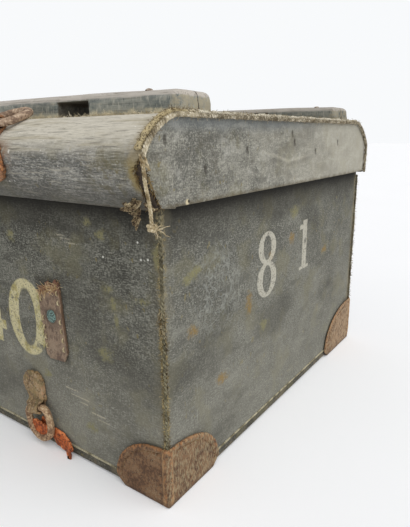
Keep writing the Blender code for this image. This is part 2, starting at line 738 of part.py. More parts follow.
def make_battens(lid):
    half = LID_END - BATTEN_END_IN
    low_z = LID_TOP_Z + GAP
    for name, side in (("front_batten", -1), ("back_batten", 1)):
        faces = sorted((side * BATTEN_FACE, side * (BATTEN_FACE - BATTEN_WIDTH)))
        centre = Vector((0, (faces[0] + faces[1]) / 2, low_z + BATTEN_HEIGHT / 2))
        mesh = box_mesh(name, (2 * half, BATTEN_WIDTH, BATTEN_HEIGHT))
        bm = bmesh.new()
        bm.from_mesh(mesh)
        worn = [e for e in bm.edges if max(v.co.z for v in e.verts) > 0]
        round_edges(bm, worn, BATTEN_ROUND)
        bm.to_mesh(mesh)
        bm.free()
        batten = add_part(name, mesh, "batten", lid, centre)
        for notch_name, notch_side in (("left", -1), ("right", 1)):
            middle = notch_side * (END - NOTCH_FROM_END)
            low = (middle - NOTCH_WIDTH / 2, faces[0] - BATTEN_WIDTH, low_z - NOTCH_HEIGHT)
            high = (middle + NOTCH_WIDTH / 2, faces[1] + BATTEN_WIDTH, low_z + NOTCH_HEIGHT)
            boolean(batten, box_cutter(f"{name}_notch_{notch_name}", low, high), "DIFFERENCE")


def make_lid_rings(lid):
    section = lid_section(FRONT_ROLL)
    lengths = [0.0]
    for a, b in zip(section, section[1:]):
        lengths.append(lengths[-1] + math.dist(a, b))
    normals = [section_normal(section, i) for i in range(len(section))]

    def on_roll(length, off):
        """The point at a length along the section from the lid's edge, off the canvas."""
        i = max(k for k in range(len(lengths) - 1) if lengths[k] <= max(length, 0.0))
        share = (length - lengths[i]) / (lengths[i + 1] - lengths[i])
        foot = Vector(section[i]).lerp(Vector(section[i + 1]), share)
        return foot + off * normals[i].lerp(normals[i + 1], share).normalized()

    outs = [out for out, z in section]
    crest = max(i for i, out in enumerate(outs) if out >= LID_RING_ROLL_OUT)
    share = (outs[crest] - LID_RING_ROLL_OUT) / (outs[crest] - outs[crest + 1])
    at = lengths[crest] + share * (lengths[crest + 1] - lengths[crest])
    axis_out, axis_z = on_roll(at, RING_OFF)

    # The ring leans back until its wire meets the batten, or lies on the roll or on the top of the lid
    clear = WIRE_RADIUS + GAP
    reach = (axis_out + FRONT - BATTEN_FACE - clear) / RING_REACH
    lift = (LID_TOP_Z + clear - axis_z) / RING_REACH
    leans = [math.acos(min(1.0, reach)), math.asin(min(1.0, lift))]
    for out, z in section:
        away = math.hypot(axis_out - out, z - axis_z)
        if out < axis_out and clear < away < RING_REACH:
            leans.append(math.atan2(z - axis_z, axis_out - out) + math.asin(clear / away))
    lean = max(leans)
    for side_name, side in (("left", -1), ("right", 1)):
        x = side * (END - LID_RING_FROM_END)
        stations = []
        for up, off, half in chape_path(LID_CHAPE_RISE, LID_CHAPE_STEPS):
            out, z = on_roll(at - up, off)
            stations.append(((x, -FRONT - out, z), (half, 0, 0)))
        strip(f"lid_chape_{side_name}", stations, LEATHER, "strap_leather", lid)
        place = (x, -FRONT - axis_out, axis_z)
        swing = empty_at(f"lid_ring_axis_{side_name}", place)
        swing.parent = lid
        swing.matrix_parent_inverse = Matrix.Translation(lid.location).inverted()
        ring(f"lid_ring_{side_name}", swing, place, (math.pi / 2 + lean, 0, 0))


def make_hinges(trunk, lid):
    axis = (FRONT + HINGE_AXIS_OUT, HINGE_AXIS_Z)
    plate_in, plate_out = FRONT + GAP, FRONT + GAP + HINGE_PLATE
    meet = 360 - math.degrees(math.acos((plate_out - axis[0]) / HINGE_EYE_RADIUS))
    foot_z = HINGE_AXIS_Z - HINGE_BODY_LEAF
    body_leaf = [(plate_in, foot_z), (plate_out, foot_z)]
    body_leaf += arc(axis, HINGE_EYE_RADIUS, meet, 540, EYE_STEPS)

    top_z = LID_EDGE_Z + HINGE_LID_LEAF
    faces = [offset_section(BACK_ROLL, off) for off in (GAP, GAP + HINGE_PLATE)]
    inside, outside = ([p for p in section_above(face, LID_EDGE_Z) if p[1] < top_z] for face in faces)
    lid_leaf = [(FRONT + out, z) for out, z in outside] + [(FRONT + out, z) for out, z in reversed(inside)]
    lid_leaf += arc(axis, HINGE_EYE_RADIUS, HINGE_EYE_LEAVES, 360, EYE_STEPS)

    bore = hole(axis, HINGE_BORE_RADIUS)
    clear = HINGE_EYE_RADIUS + GAP
    for side_name, side in (("left", -1), ("right", 1)):
        x = side * HINGE_X
        place = (x, 0, 0)
        mesh = outline_mesh("hinge_body_leaf", [body_leaf, bore], HINGE_WIDTH)
        leaf = add_part(f"hinge_body_leaf_{side_name}", mesh, "iron", trunk, place, ALONG_X)
        low = (x - HINGE_KNUCKLE / 2, axis[0] - 2 * clear, axis[1] - clear)
        high = (x + HINGE_KNUCKLE / 2, axis[0] + 2 * clear, axis[1] + 2 * clear)
        boolean(leaf, box_cutter(f"body_leaf_notch_{side_name}", low, high), "DIFFERENCE")

        mesh = outline_mesh("hinge_lid_leaf", [lid_leaf, bore], HINGE_WIDTH)
        leaf = add_part(f"hinge_lid_leaf_{side_name}", mesh, "iron", lid, place, ALONG_X)
        for notch_name, hand in (("left", -1), ("right", 1)):
            near = x + hand * (HINGE_KNUCKLE / 2 - GAP)
            far = x + hand * HINGE_WIDTH
            low = (min(near, far), axis[0] - 2 * clear, axis[1] - 2 * clear)
            high = (max(near, far), axis[0] + 2 * clear, axis[1] + clear)
            boolean(leaf, box_cutter(f"lid_leaf_notch_{side_name}_{notch_name}", low, high), "DIFFERENCE")

        pin = bpy.data.meshes.new("hinge_pin")
        bm = bmesh.new()
        bmesh.ops.create_cone(
            bm, cap_ends=True, segments=TURN_STEPS, radius1=HINGE_PIN_RADIUS, radius2=HINGE_PIN_RADIUS,
            depth=HINGE_WIDTH + 2 * HINGE_PLATE
        )
        bm.to_mesh(pin)
        bm.free()
        pin.shade_smooth()
        pin.set_sharp_from_angle(angle=math.radians(40))
        add_part(f"hinge_pin_{side_name}", pin, "iron", trunk, (x, *axis), (0, math.pi / 2, 0))


clear_scene()
PARTS = new_collection("military_trunk")
CUTTERS = new_collection("cutters")
TRUNK = empty_at("trunk", (0, 0, 0))
LID = empty_at("lid_axis", (0, FRONT + HINGE_AXIS_OUT, HINGE_AXIS_Z))
make_body(TRUNK)
make_edge_cords(TRUNK)
make_caps(TRUNK)
make_tabs(TRUNK)
make_body_rings(TRUNK)
make_lid(LID)
make_piping(LID)
make_battens(LID)
make_lid_rings(LID)
make_hinges(TRUNK, LID)
for carrier in [obj for obj in PARTS.objects if obj.parent is None] + list(CUTTERS.objects):
    carrier.location.y += CENTRE_SHIFT
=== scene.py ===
# %% [markdown]
# A military trunk, dressed. The frame brings the boards, hinges, rings and skins at their real size. This
# lesson gives the trunk its age: wrinkled canvas, a frayed rope along the lid, dry leather, rusty iron and
# worn wood. Everything is in metres. X runs along the trunk, the front faces -Y and the floor is Z = 0. The
# origin lies under the middle of the lid and hinges, a little in front of the body's own middle. The steps
# below measure from the body's middle, and SHIFT takes a finished piece to its place in the frame.

# %% Load the frame and keep its box
import math
import random

import bpy
from mathutils import Matrix, Vector, noise


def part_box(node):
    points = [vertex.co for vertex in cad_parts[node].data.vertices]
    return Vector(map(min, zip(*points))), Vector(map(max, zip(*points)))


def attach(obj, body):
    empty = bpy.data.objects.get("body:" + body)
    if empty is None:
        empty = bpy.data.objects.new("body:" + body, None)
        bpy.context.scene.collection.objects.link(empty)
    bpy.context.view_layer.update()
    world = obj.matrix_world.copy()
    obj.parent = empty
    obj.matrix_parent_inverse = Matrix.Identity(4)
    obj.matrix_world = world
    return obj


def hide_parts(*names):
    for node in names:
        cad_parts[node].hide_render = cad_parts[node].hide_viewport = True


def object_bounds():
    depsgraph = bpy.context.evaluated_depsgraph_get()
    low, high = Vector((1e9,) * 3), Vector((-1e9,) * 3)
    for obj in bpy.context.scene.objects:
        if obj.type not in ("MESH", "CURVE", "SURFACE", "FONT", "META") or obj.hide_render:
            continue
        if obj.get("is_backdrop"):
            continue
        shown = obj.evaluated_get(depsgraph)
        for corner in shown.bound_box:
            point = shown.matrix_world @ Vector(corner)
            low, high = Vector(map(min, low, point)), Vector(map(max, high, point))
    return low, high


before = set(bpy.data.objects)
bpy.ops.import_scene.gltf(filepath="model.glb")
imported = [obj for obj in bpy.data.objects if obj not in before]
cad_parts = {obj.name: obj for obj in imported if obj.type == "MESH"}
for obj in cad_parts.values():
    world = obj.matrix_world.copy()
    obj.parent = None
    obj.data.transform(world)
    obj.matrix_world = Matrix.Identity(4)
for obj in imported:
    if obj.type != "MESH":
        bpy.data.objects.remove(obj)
CAD_BOX = [list(corner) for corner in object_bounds()]
SHIFT = Vector((0, sum(corner.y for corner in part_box("body_canvas")) / 2, 0))
bpy.context.scene.view_settings.view_transform = "Standard"


def box(node):
    """The low and high corner of a frame solid, from the body's middle."""
    return [Vector(corner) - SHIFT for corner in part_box(node)]


print("the body's middle lies", round(SHIFT.y * 1000, 1), "mm behind the origin")

# %% [markdown]
# The camera stands close to the near corner, a little above the lid and turned to its left. Two turns aim
# it, about the upright and then down, and a third, very small one, levels the picture. The lens follows
# from the focal length in pixels on the picture's long side.

# %% Camera
PICTURE_HEIGHT = 527
FOCAL_PIXELS = 481.0
SENSOR = 36.0
CAMERA_PLACE = (0.6448, -0.5215, 0.3320)
CAMERA_TURN, CAMERA_DOWN, CAMERA_LEVEL = math.radians(35.21), math.radians(14.83), math.radians(-0.48)

bpy.ops.object.camera_add()
camera = bpy.context.object
camera.name = "photo_camera"
camera.data.sensor_width = SENSOR
camera.data.lens = SENSOR * FOCAL_PIXELS / PICTURE_HEIGHT
camera.data.clip_start = 0.01
aim = Matrix.Rotation(CAMERA_TURN, 4, "Z") @ Matrix.Rotation(math.pi / 2 - CAMERA_DOWN, 4, "X")
level = Matrix.Rotation(CAMERA_LEVEL, 4, "Z")
camera.matrix_world = Matrix.Translation(Vector(CAMERA_PLACE) + SHIFT) @ aim @ level
bpy.context.scene.camera = camera
print("lens", round(camera.data.lens, 2), "mm")

# %% [markdown]
# Shader sums read best as plain arithmetic. Wire stands for one output of a node: adding, multiplying or
# subtracting wires adds the Math nodes, and ease turns a value into a soft mask. Tree makes any other node,
# from its type, its settings and its inputs.

# %% Shader arithmetic
class Wire:
    def __init__(self, tree, socket):
        self.tree, self.socket = tree, socket

    def math(self, operation, *values):
        return self.tree.node("ShaderNodeMath", {"operation": operation}, dict(enumerate(values)))

    def __add__(self, other):
        return self.math("ADD", self, other)

    def __sub__(self, other):
        return self.math("SUBTRACT", self, other)

    def __rsub__(self, other):
        return self.math("SUBTRACT", other, self)

    def __mul__(self, other):
        return self.math("MULTIPLY", self, other)

    def __or__(self, other):
        return self.math("MAXIMUM", self, other)

    __radd__, __rmul__, __ror__ = __add__, __mul__, __or__

    def size(self):
        return self.math("ABSOLUTE", self)

    def ease(self, low, high):
        """A mask that goes smoothly from 0 at low to 1 at high. Low may be the larger one."""
        edges = {"Value": self, "From Min": min(low, high), "From Max": max(low, high)}
        edges.update({"To Min": 1.0, "To Max": 0.0} if low > high else {})
        return self.tree.node("ShaderNodeMapRange", {"interpolation_type": "SMOOTHSTEP"}, edges)


class Tree:
    def __init__(self, owner):
        owner.use_nodes = True
        self.nodes, self.links = owner.node_tree.nodes, owner.node_tree.links

    def feed(self, socket, value):
        if isinstance(value, Wire):
            self.links.new(value.socket, socket)
        else:
            socket.default_value = value

    def node(self, kind, settings=None, inputs=None, out=0):
        made = self.nodes.new(kind)
        for name, value in (settings or {}).items():
            setattr(made, name, value)
        for key, value in (inputs or {}).items():
            self.feed(made.inputs[key], value)
        return Wire(self, made.outputs[out])


print("a wire can", [word.strip("_") for word in vars(Wire) if callable(getattr(Wire, word))])

# %% [markdown]
# A finish is one material, built up as a painter would: a ground, then thin layers, each with a mask that
# says where it holds. The masks come from noise, from the place on the trunk and from the distance to a
# point. They read Object coordinates, so a pattern stays on its piece when the lid or a ring moves.

# %% Finishes in layers
def tint(shade):
    """A screen colour, 0 to 255, turned into the light that a shader mixes. A wire stays as it is."""
    if isinstance(shade, Wire):
        return shade
    return (*(((c / 255 + 0.055) / 1.055) ** 2.4 for c in shade), 1.0)


class Finish(Tree):
    def __init__(self, name, roughness=0.9, specular=0.3):
        self.material = bpy.data.materials.new(name)
        super().__init__(self.material)
        self.shader = self.nodes["Principled BSDF"]
        self.shader.inputs["Roughness"].default_value = roughness
        self.shader.inputs["Specular IOR Level"].default_value = specular
        self.colour = None
        place = self.node("ShaderNodeTexCoord", out="Object")
        self.here = self.node("ShaderNodeVectorMath", {"operation": "SUBTRACT"}, {0: place, 1: SHIFT})
        self.x, self.y, self.z = (self.node("ShaderNodeSeparateXYZ", {}, {0: self.here}, i) for i in range(3))

    def grain(self, size, detail=3, seed=0, stretch=(1, 1, 1), turn=(0, 0, 0), rough=0.5):
        """Cloudy noise with marks of about this size in metres, drawn out along the axes."""
        scale = tuple(1 / (size * s) for s in stretch)
        settings = {"Vector": self.here, "Location": (seed, seed, seed), "Rotation": turn, "Scale": scale}
        place = self.node("ShaderNodeMapping", {"vector_type": "POINT"}, settings)
        inputs = {"Vector": place, "Scale": 1.0, "Detail": detail, "Roughness": rough}
        return self.node("ShaderNodeTexNoise", {}, inputs, "Fac")

    def near(self, point, radius):
        """A mask round one point."""
        away = self.node("ShaderNodeVectorMath", {"operation": "DISTANCE"}, {0: self.here, 1: point}, "Value")
        return away.ease(radius, radius * 0.35)

    def rim(self):
        """The mask named edge that a piece carries."""
        return self.node("ShaderNodeAttribute", {"attribute_name": "edge"}, out="Fac")

    def blend(self, under, over, mask):
        inputs = {"Factor": mask, 6: tint(under), 7: tint(over)}
        return self.node("ShaderNodeMix", {"data_type": "RGBA"}, inputs, 2)

    def lay(self, shade, mask=None):
        """The next layer of colour, where the mask is 1. The first layer has no mask."""
        self.colour = shade if mask is None else self.blend(self.colour, shade, mask)

    def paint(self, height=None, depth=0.001):
        """Feed the colour, and a height that becomes relief of this depth in metres."""
        self.feed(self.shader.inputs["Base Color"], tint(self.colour))
        if height is not None:
            relief = self.node("ShaderNodeBump", {}, {"Height": height, "Distance": depth, "Strength": 1.0})
            self.feed(self.shader.inputs["Normal"], relief)
        return self.material


print("a finish can", [word for word in vars(Finish) if not word.startswith("_")])

# %% [markdown]
# The studio is plain: a wide pale floor, an even white surround and one very soft lamp from the right, so
# that the end of the trunk is lighter than its front. The surround looks white to the camera and gives half
# that light.

# %% Floor, surround and lamp
FLOOR_SIZE = 40.0
FLOOR_GLOW = 0.10
SKY_COLOUR = (0.97, 0.985, 1.0, 1.0)
SKY_LIGHT, SKY_SEEN = 0.52, 0.97
LAMP_STRENGTH = 1.75
LAMP_SOFTNESS = math.radians(70)
LAMP_DIRECTION = Vector((0.62, -0.16, 0.77))

bpy.ops.object.select_all(action="DESELECT")
bpy.ops.mesh.primitive_plane_add(size=FLOOR_SIZE)
floor = bpy.context.object
floor.name = "studio_floor"
floor_finish = Finish("pale_floor", roughness=0.8, specular=0.1)
floor_finish.lay((244, 244, 245))
floor_finish.lay((250, 250, 251), floor_finish.grain(0.35, 2))
floor_finish.shader.inputs["Emission Color"].default_value = SKY_COLOUR
floor_finish.shader.inputs["Emission Strength"].default_value = FLOOR_GLOW
floor.data.materials.append(floor_finish.paint())
floor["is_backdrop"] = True

world = bpy.data.worlds.new("studio_surround")
bpy.context.scene.world = world
surround = Tree(world)
sky = surround.nodes["Background"]
sky.inputs["Color"].default_value = SKY_COLOUR
rays = ("Is Camera Ray", "Is Glossy Ray", "Is Transmission Ray")
seen, mirrored, through = (surround.node("ShaderNodeLightPath", out=ray) for ray in rays)
levels = {"Value": seen | mirrored | through, "To Min": SKY_LIGHT, "To Max": SKY_SEEN}
surround.feed(sky.inputs["Strength"], surround.node("ShaderNodeMapRange", {}, levels))

bpy.ops.object.light_add(type="SUN", location=LAMP_DIRECTION * 3)
lamp = bpy.context.object
lamp.name = "soft_lamp"
lamp.data.energy = LAMP_STRENGTH
lamp.data.angle = LAMP_SOFTNESS
lamp.rotation_mode = "QUATERNION"
lamp.rotation_quaternion = LAMP_DIRECTION.to_track_quat("Z", "Y")
print("floor", FLOOR_SIZE, "m, lamp from", tuple(round(c, 2) for c in LAMP_DIRECTION))

# %% [markdown]
# A few hand tools serve every piece. only() selects one object, add() makes a primitive, join() makes
# several objects one, edit() goes into edit mode with just the points, edges or faces that pass a test, and
# modify() adds a modifier and applies it. They only do what every operator needs before and after it.

# %% Modelling tools
def only(obj):
    bpy.ops.object.select_all(action="DESELECT")
    obj.select_set(True)
    bpy.context.view_layer.objects.active = obj
    return obj


def add(primitive, scale=(1, 1, 1), **settings):
    """A new primitive, alone in the selection, drawn out by scale."""
    bpy.ops.object.select_all(action="DESELECT")
    primitive(**settings)
    obj = only(bpy.context.object)
    obj.scale = scale
    bpy.ops.object.transform_apply()
    return obj


def join(first, *others):
    only(first)
    for other in others:
        other.select_set(True)
    bpy.ops.object.join()
    return first


def edit(obj, kind="FACE", test=lambda middle, direction: True):
    """Edit mode, with what passes test(middle, direction) selected; an edge's direction is its whole run."""
    only(obj)
    mesh = obj.data
    for items in (mesh.vertices, mesh.edges, mesh.polygons):
        items.foreach_set("select", [False] * len(items))
    for edge in mesh.edges if kind == "EDGE" else ():
        start, end = (mesh.vertices[i].co for i in edge.vertices)
        edge.select = test((start + end) / 2, end - start)
    for face in mesh.polygons if kind == "FACE" else ():
        face.select = test(face.center, face.normal)
    for vertex in mesh.vertices if kind == "VERT" else ():
        vertex.select = test(vertex.co, vertex.normal)
    bpy.context.tool_settings.mesh_select_mode = [kind == name for name in ("VERT", "EDGE", "FACE")]
    bpy.ops.object.mode_set(mode="EDIT")


def done():
    bpy.ops.object.mode_set(mode="OBJECT")


def modify(obj, kind, **settings):
    only(obj)
    bpy.ops.object.modifier_add(type=kind)
    modifier = obj.modifiers[-1]
    for name, value in settings.items():
        setattr(modifier, name, value)
    bpy.ops.object.modifier_apply(modifier=modifier.name)


print("tools:", ", ".join(tool.__name__ for tool in (only, add, join, edit, done, modify)))

# %% [markdown]
# Most pieces start as a copy of their frame solid and are then aged. press() pushes points along their
# normals as a sculpting brush does, and cloud() is the noise that tells it how far. place() finishes a
# piece: its name, its material, the body that carries it and the frame solids that it stands for.

# %% Copying, pressing and placing
def cad_copy(node):
    """A copy of a frame solid with its loose triangles merged into one skin of four-sided faces."""
    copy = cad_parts[node].copy()
    copy.data = copy.data.copy()
    for key in list(copy.keys()):
        del copy[key]
    copy.parent = None
    bpy.context.collection.objects.link(copy)
    copy.location -= SHIFT
    only(copy)
    bpy.ops.object.transform_apply()
    edit(copy)
    bpy.ops.mesh.remove_doubles(threshold=0.00002)
    bpy.ops.mesh.tris_convert_to_quads()
    done()
    return copy


def press(obj, depth):
    """Move each point along its normal by depth(place, normal) metres."""
    points = obj.data.vertices
    for point, normal in zip(points, [p.normal.copy() for p in points]):
        point.co += normal * depth(point.co, normal)
    obj.data.update()


def cloud(place, size, seed=0.0):
    """Noise from -1 to 1; size is one length, or one for each axis."""
    sizes = size if isinstance(size, tuple) else (size,) * 3
    return noise.noise(Vector([c / s + seed for c, s in zip(place, sizes)]))


def smooth(value, low, high):
    share = min(1.0, max(0.0, (value - low) / (high - low)))
    return share * share * (3 - 2 * share)


def place(obj, name, finish, body, slot, *replaced, angle=50):
    obj.name = obj.data.name = name
    obj.location += SHIFT
    only(obj)
    bpy.ops.object.transform_apply()
    bpy.ops.object.shade_smooth_by_angle(angle=math.radians(angle))
    obj.data.materials.clear()
    obj.data.materials.append(finish)
    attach(obj, body)
    if replaced:
        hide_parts(*replaced)
    print(name, len(obj.data.polygons), "faces on", body)
    return obj


print("tools:", ", ".join(tool.__name__ for tool in (cad_copy, press, cloud, smooth, place)))

# %% [markdown]
# Cord, thread and wire are all the same tool: a curve with a round bevel, made a mesh. A rope is a few such
# wires wound round one line. A Screw modifier could wind it too, but only round a straight line.

# %% Cord tools
def even(path, step):
    """Points at even steps along a line of points."""
    points = [Vector(p) for p in path]
    runs = [(b - a).length for a, b in zip(points, points[1:])]
    count = max(2, round(sum(runs) / step))
    result, i, passed = [points[0]], 0, 0.0
    for n in range(1, count):
        target = sum(runs) * n / count
        while passed + runs[i] < target:
            passed += runs[i]
            i += 1
        result.append(points[i].lerp(points[i + 1], (target - passed) / runs[i]))
    return result + [points[-1]]


def wires(name, runs, radius, closed=False, sides=1):
    """Round wires as one mesh. Each run is points of x, y, z and a share of the radius."""
    curve = bpy.data.curves.new(name, "CURVE")
    curve.dimensions = "3D"
    curve.bevel_depth = radius
    curve.bevel_resolution = sides
    curve.use_fill_caps = not closed
    for run in runs:
        spline = curve.splines.new("POLY")
        spline.points.add(len(run) - 1)
        spline.use_cyclic_u = closed
        for point, (x, y, z, share) in zip(spline.points, run):
            point.co = (x, y, z, 1.0)
            point.radius = share
    obj = bpy.data.objects.new(name, curve)
    bpy.context.collection.objects.link(obj)
    only(obj)
    bpy.ops.object.convert(target="MESH")
    return bpy.context.object


def rope(name, path, radius, pitch, across, strands=3, slack=0.12, seed=0, per_turn=9):
    """Strands wound round a path; across is any direction that the path never takes."""
    middle = even(path, pitch / per_turn)
    thin = radius / (1 + 1 / math.sin(math.pi / strands))
    runs = [[] for _ in range(strands)]
    for i, point in enumerate(middle):
        along = (middle[min(i + 1, len(middle) - 1)] - middle[max(i - 1, 0)]).normalized()
        side = along.cross(across).normalized()
        up = side.cross(along)
        for k, run in enumerate(runs):
            turn = math.tau * (i / per_turn + k / strands)
            away = (radius - thin) * (side * math.cos(turn) + up * math.sin(turn))
            share = 1 + slack * noise.noise((i * 0.21, k * 5.3, seed))
            run.append((*(point + away * (1 + slack * noise.noise((i * 0.13, k * 3.1, seed + 9)))), share))
    return wires(name, runs, thin)


print("cord tools:", ", ".join(tool.__name__ for tool in (even, wires, rope)))

# %% [markdown]
# Loose fibres and sewing are short wires. A fray is many that leave their roots, bend at random and droop.
# A stitch is one that rises out of the leather and dips back in. A particle system could grow hairs too,
# but here each root and heading is given.

# %% Thread tools
def fray(name, roots, reach, thickness, seed, droop=0.12, joints=5):
    """Loose fibres from roots of (point, outward direction), thinner towards their tips."""
    dice = random.Random(seed)
    runs = []
    for point, outward in roots:
        length = reach * dice.uniform(0.35, 1.3)
        heading = Vector(outward) + Vector([dice.gauss(0, 0.55) for _ in range(3)])
        here, run = Vector(point), []
        for i in range(joints):
            run.append((*here, 1 - 0.7 * i / joints))
            heading = heading.normalized() + Vector([dice.gauss(0, 0.3) for _ in range(3)])
            heading.z -= droop
            here = here + heading.normalized() * length / (joints - 1)
        runs.append(run)
    return wires(name, runs, thickness, sides=0)


def stitches(name, line, spacing, thickness, fill=0.62, lift=0.5, skip=0.06, seed=0):
    """Sewing along a line of (point, normal) pairs; a few stitches are lost."""
    dice = random.Random(seed)
    points = [Vector(p) for p, _ in line]
    spread = even(points, spacing)
    runs = []
    for start, end in zip(spread, spread[1:]):
        middle = (start + end) / 2
        up = line[min(range(len(points)), key=lambda i: (points[i] - middle).length)][1]
        if dice.random() < skip:
            continue
        half = (end - start) * fill / 2
        jitter = Vector([dice.gauss(0, thickness * 0.2) for _ in range(3)])
        rise = up * thickness * lift
        runs.append([
            (*(middle - half - rise + jitter), 0.7),
            (*(middle - half * 0.45 + rise + jitter), 1.0),
            (*(middle + half * 0.45 + rise + jitter), 1.0),
            (*(middle + half - rise + jitter), 0.7),
        ])
    return wires(name, runs, thickness, sides=1)


print("thread tools:", ", ".join(tool.__name__ for tool in (fray, stitches)))

# %% [markdown]
# All the rope and thread on the trunk is old ochre twine. One recipe makes it, brown, then ochre, then
# straw on the fibres, and each kind of thread only changes the three tones. Fine noise drawn out along Z
# stands for the fibres.

# %% Twine finish
def twine(name, deep, mid, pale, seed, soot=None):
    """Dirty twine; soot is a colour that gathers in it behind the front roll."""
    finish = Finish(name, roughness=0.95, specular=0.15)
    dirt = finish.grain(0.010, 4, seed)
    fibre = finish.grain(0.0011, 2, seed + 4, stretch=(1, 1, 2.5))
    finish.lay(deep)
    finish.lay(mid, dirt.ease(0.36, 0.56))
    finish.lay(pale, (fibre * 0.6 + dirt * 0.4).ease(0.48, 0.68))
    if soot:
        behind = (finish.y + dirt * 0.02).ease(-0.200, -0.170)
        finish.lay(soot, behind * fibre.ease(0.70, 0.40) * 0.75)
    return finish.paint(fibre, 0.0005)


piping_twine = twine("old_twine", (116, 105, 84), (179, 167, 141), (224, 215, 194), 0, (74, 66, 54))
loose_twine = twine("straw_twine", (118, 100, 70), (168, 152, 120), (216, 204, 176), 7)
print(piping_twine.name, loose_twine.name)

# %% [markdown]
# One end of the lid's piping has come loose at the torn corner and hangs there. It is the only free cord:
# three strands wound round the route that the frame's solid takes, with a knot and a few loose threads at
# its end. A curve with a bevel would give a plain tube, so each strand is its own wire.

# %% Loose cord with its knot
CORD_WIDE = 0.0032
CORD_STEP = 0.0032
CORD_START = Vector((0.4095, -0.26273, 0.3164))
CORD_SWAY = [
    (0, 0), (0, 0), (0.0001, -0.0001), (0.0003, -0.0001), (0.0006, -0.0002), (0.0010, -0.0001),
    (0.0014, 0.0001), (0.0017, 0.0004), (0.0021, 0.0009), (0.0025, 0.0013), (0.0029, 0.0015),
    (0.0034, 0.0017), (0.0037, 0.0018), (0.0039, 0.0018), (0.0041, 0.0018), (0.0042, 0.0017),
]
cord_route = [CORD_START + Vector((x, y, -CORD_STEP * i)) for i, (x, y) in enumerate(CORD_SWAY)]

loose_cord = rope("loose_cord_twist", cord_route, CORD_WIDE / 2, 0.0075, Vector((1, 0, 0)), seed=3)
place(loose_cord, "loose_cord_twist", loose_twine, "lid", "cord", "loose_cord")

knot_middle = cord_route[-1] + Vector((0.0002, 0, -0.0012))
knot_turns = []
for i in range(40):
    turn = math.tau * i / 13
    wide = 0.0026 + 0.0006 * math.sin(i * 0.9)
    knot_turns.append((
        knot_middle.x + wide * math.cos(turn),
        knot_middle.y + wide * math.sin(turn) * 0.85,
        knot_middle.z + 0.0016 - 0.0034 * i / 39 + 0.0009 * math.sin(turn * 0.5),
        1 + 0.15 * math.sin(i * 1.7),
    ))
knot = wires("cord_knot", [knot_turns], 0.0013)
place(knot, "cord_knot", loose_twine, "lid", "cord")

thread_roots = [(knot_middle + Vector((0.001, 0.001, -0.001)), Vector((0.35, 1.3, -0.25)))] * 12
cord_threads = fray("cord_threads", thread_roots, 0.012, 0.00045, 21, droop=0.10)
place(cord_threads, "cord_threads", loose_twine, "lid", "cord")

# %% [markdown]
# The canvas is the trunk's face: coated cloth, once dark olive, now dusty and spotted. One recipe makes
# every canvas finish. Broad clouds and small blots set the tone, two crossed grains give the weave, and
# thin masks lay ochre flecks, pale specks and scratches over it. The same weave feeds the relief, so that
# light catches the threads.

# %% Canvas recipe
def canvas(name, shade, ground, pale, seed, drawn=(1.7, 1.7, 1), thread=0.95):
    """The woven ground of a canvas finish, and its height."""
    cloth = Finish(name, roughness=0.92, specular=0.2)
    broad = cloth.grain(0.085, 4, seed)
    blots = cloth.grain(0.030, 9, seed + 3, rough=0.66)
    grit = cloth.grain(0.0014, 4, seed + 9, stretch=drawn)
    level = cloth.grain(0.0010, 2, seed + 5, stretch=(5, 5, 1))
    upright = cloth.grain(0.0010, 2, seed + 6, stretch=(1, 1, 5))
    weave = level * 0.32 + upright * 0.24 + grit * 0.44
    cloth.lay(shade)
    cloth.lay(ground, (broad * 0.3 + blots * 0.5 + grit * 0.2).ease(0.40, 0.60))
    cloth.lay(pale, weave.ease(0.47, 0.64) * thread)
    cloth.lay(shade, weave.ease(0.52, 0.36) * thread)
    smear = cloth.grain(0.014, 9, seed + 13, stretch=(3.5, 3.5, 1), turn=(0.35, 0.5, 0), rough=0.68)
    cloth.lay(shade, smear.ease(0.47, 0.36) * 0.6)
    cloth.lay(pale, smear.ease(0.54, 0.68) * 0.4)
    olive = cloth.grain(0.040, 7, seed + 10, rough=0.6).ease(0.50, 0.64)
    cloth.lay((112, 107, 80), olive * 0.45)
    flecks = cloth.grain(0.006, 4, seed + 11, stretch=(1, 1, 1.6)).ease(0.66, 0.72)
    cloth.lay((122, 111, 72), flecks * 0.7)
    specks = cloth.grain(0.0030, 2, seed + 17).ease(0.72, 0.77)
    cloth.lay((188, 186, 174), specks * 0.6)
    scratch = cloth.grain(0.0020, 2, seed + 23, stretch=(1, 1, 30), turn=(0.5, 0.6, 0.3))
    cloth.lay(pale, scratch.ease(0.66, 0.74) * 0.5)
    height = weave * 0.5 + blots * 0.35
    return cloth, height


def bars(across, up, spans, soft=0.0009):
    """A mask of painted bars, each (from, to) across and (from, to) up."""
    mask = None
    for (left, right), (low, high) in spans:
        beside = (across - (left + right) / 2).size() - (right - left) / 2
        above = (up - (low + high) / 2).size() - (high - low) / 2
        bar = (beside | above).ease(soft, -soft)
        mask = bar if mask is None else mask | bar
    return mask


def ovals(across, up, rings):
    """A mask of painted ovals with a narrow eye, each by its middle and its half width and height."""
    mask = None
    for (x, z), (wide, tall) in rings:
        aside, above = (across - x) * (1 / wide), (up - z) * (1 / tall)
        reach = aside * aside + above * above
        eye = aside * aside * 5.2 + above * above * 1.7
        ring = reach.ease(1.06, 0.94) * eye.ease(0.88, 1.12)
        mask = ring if mask is None else mask | ring
    return mask


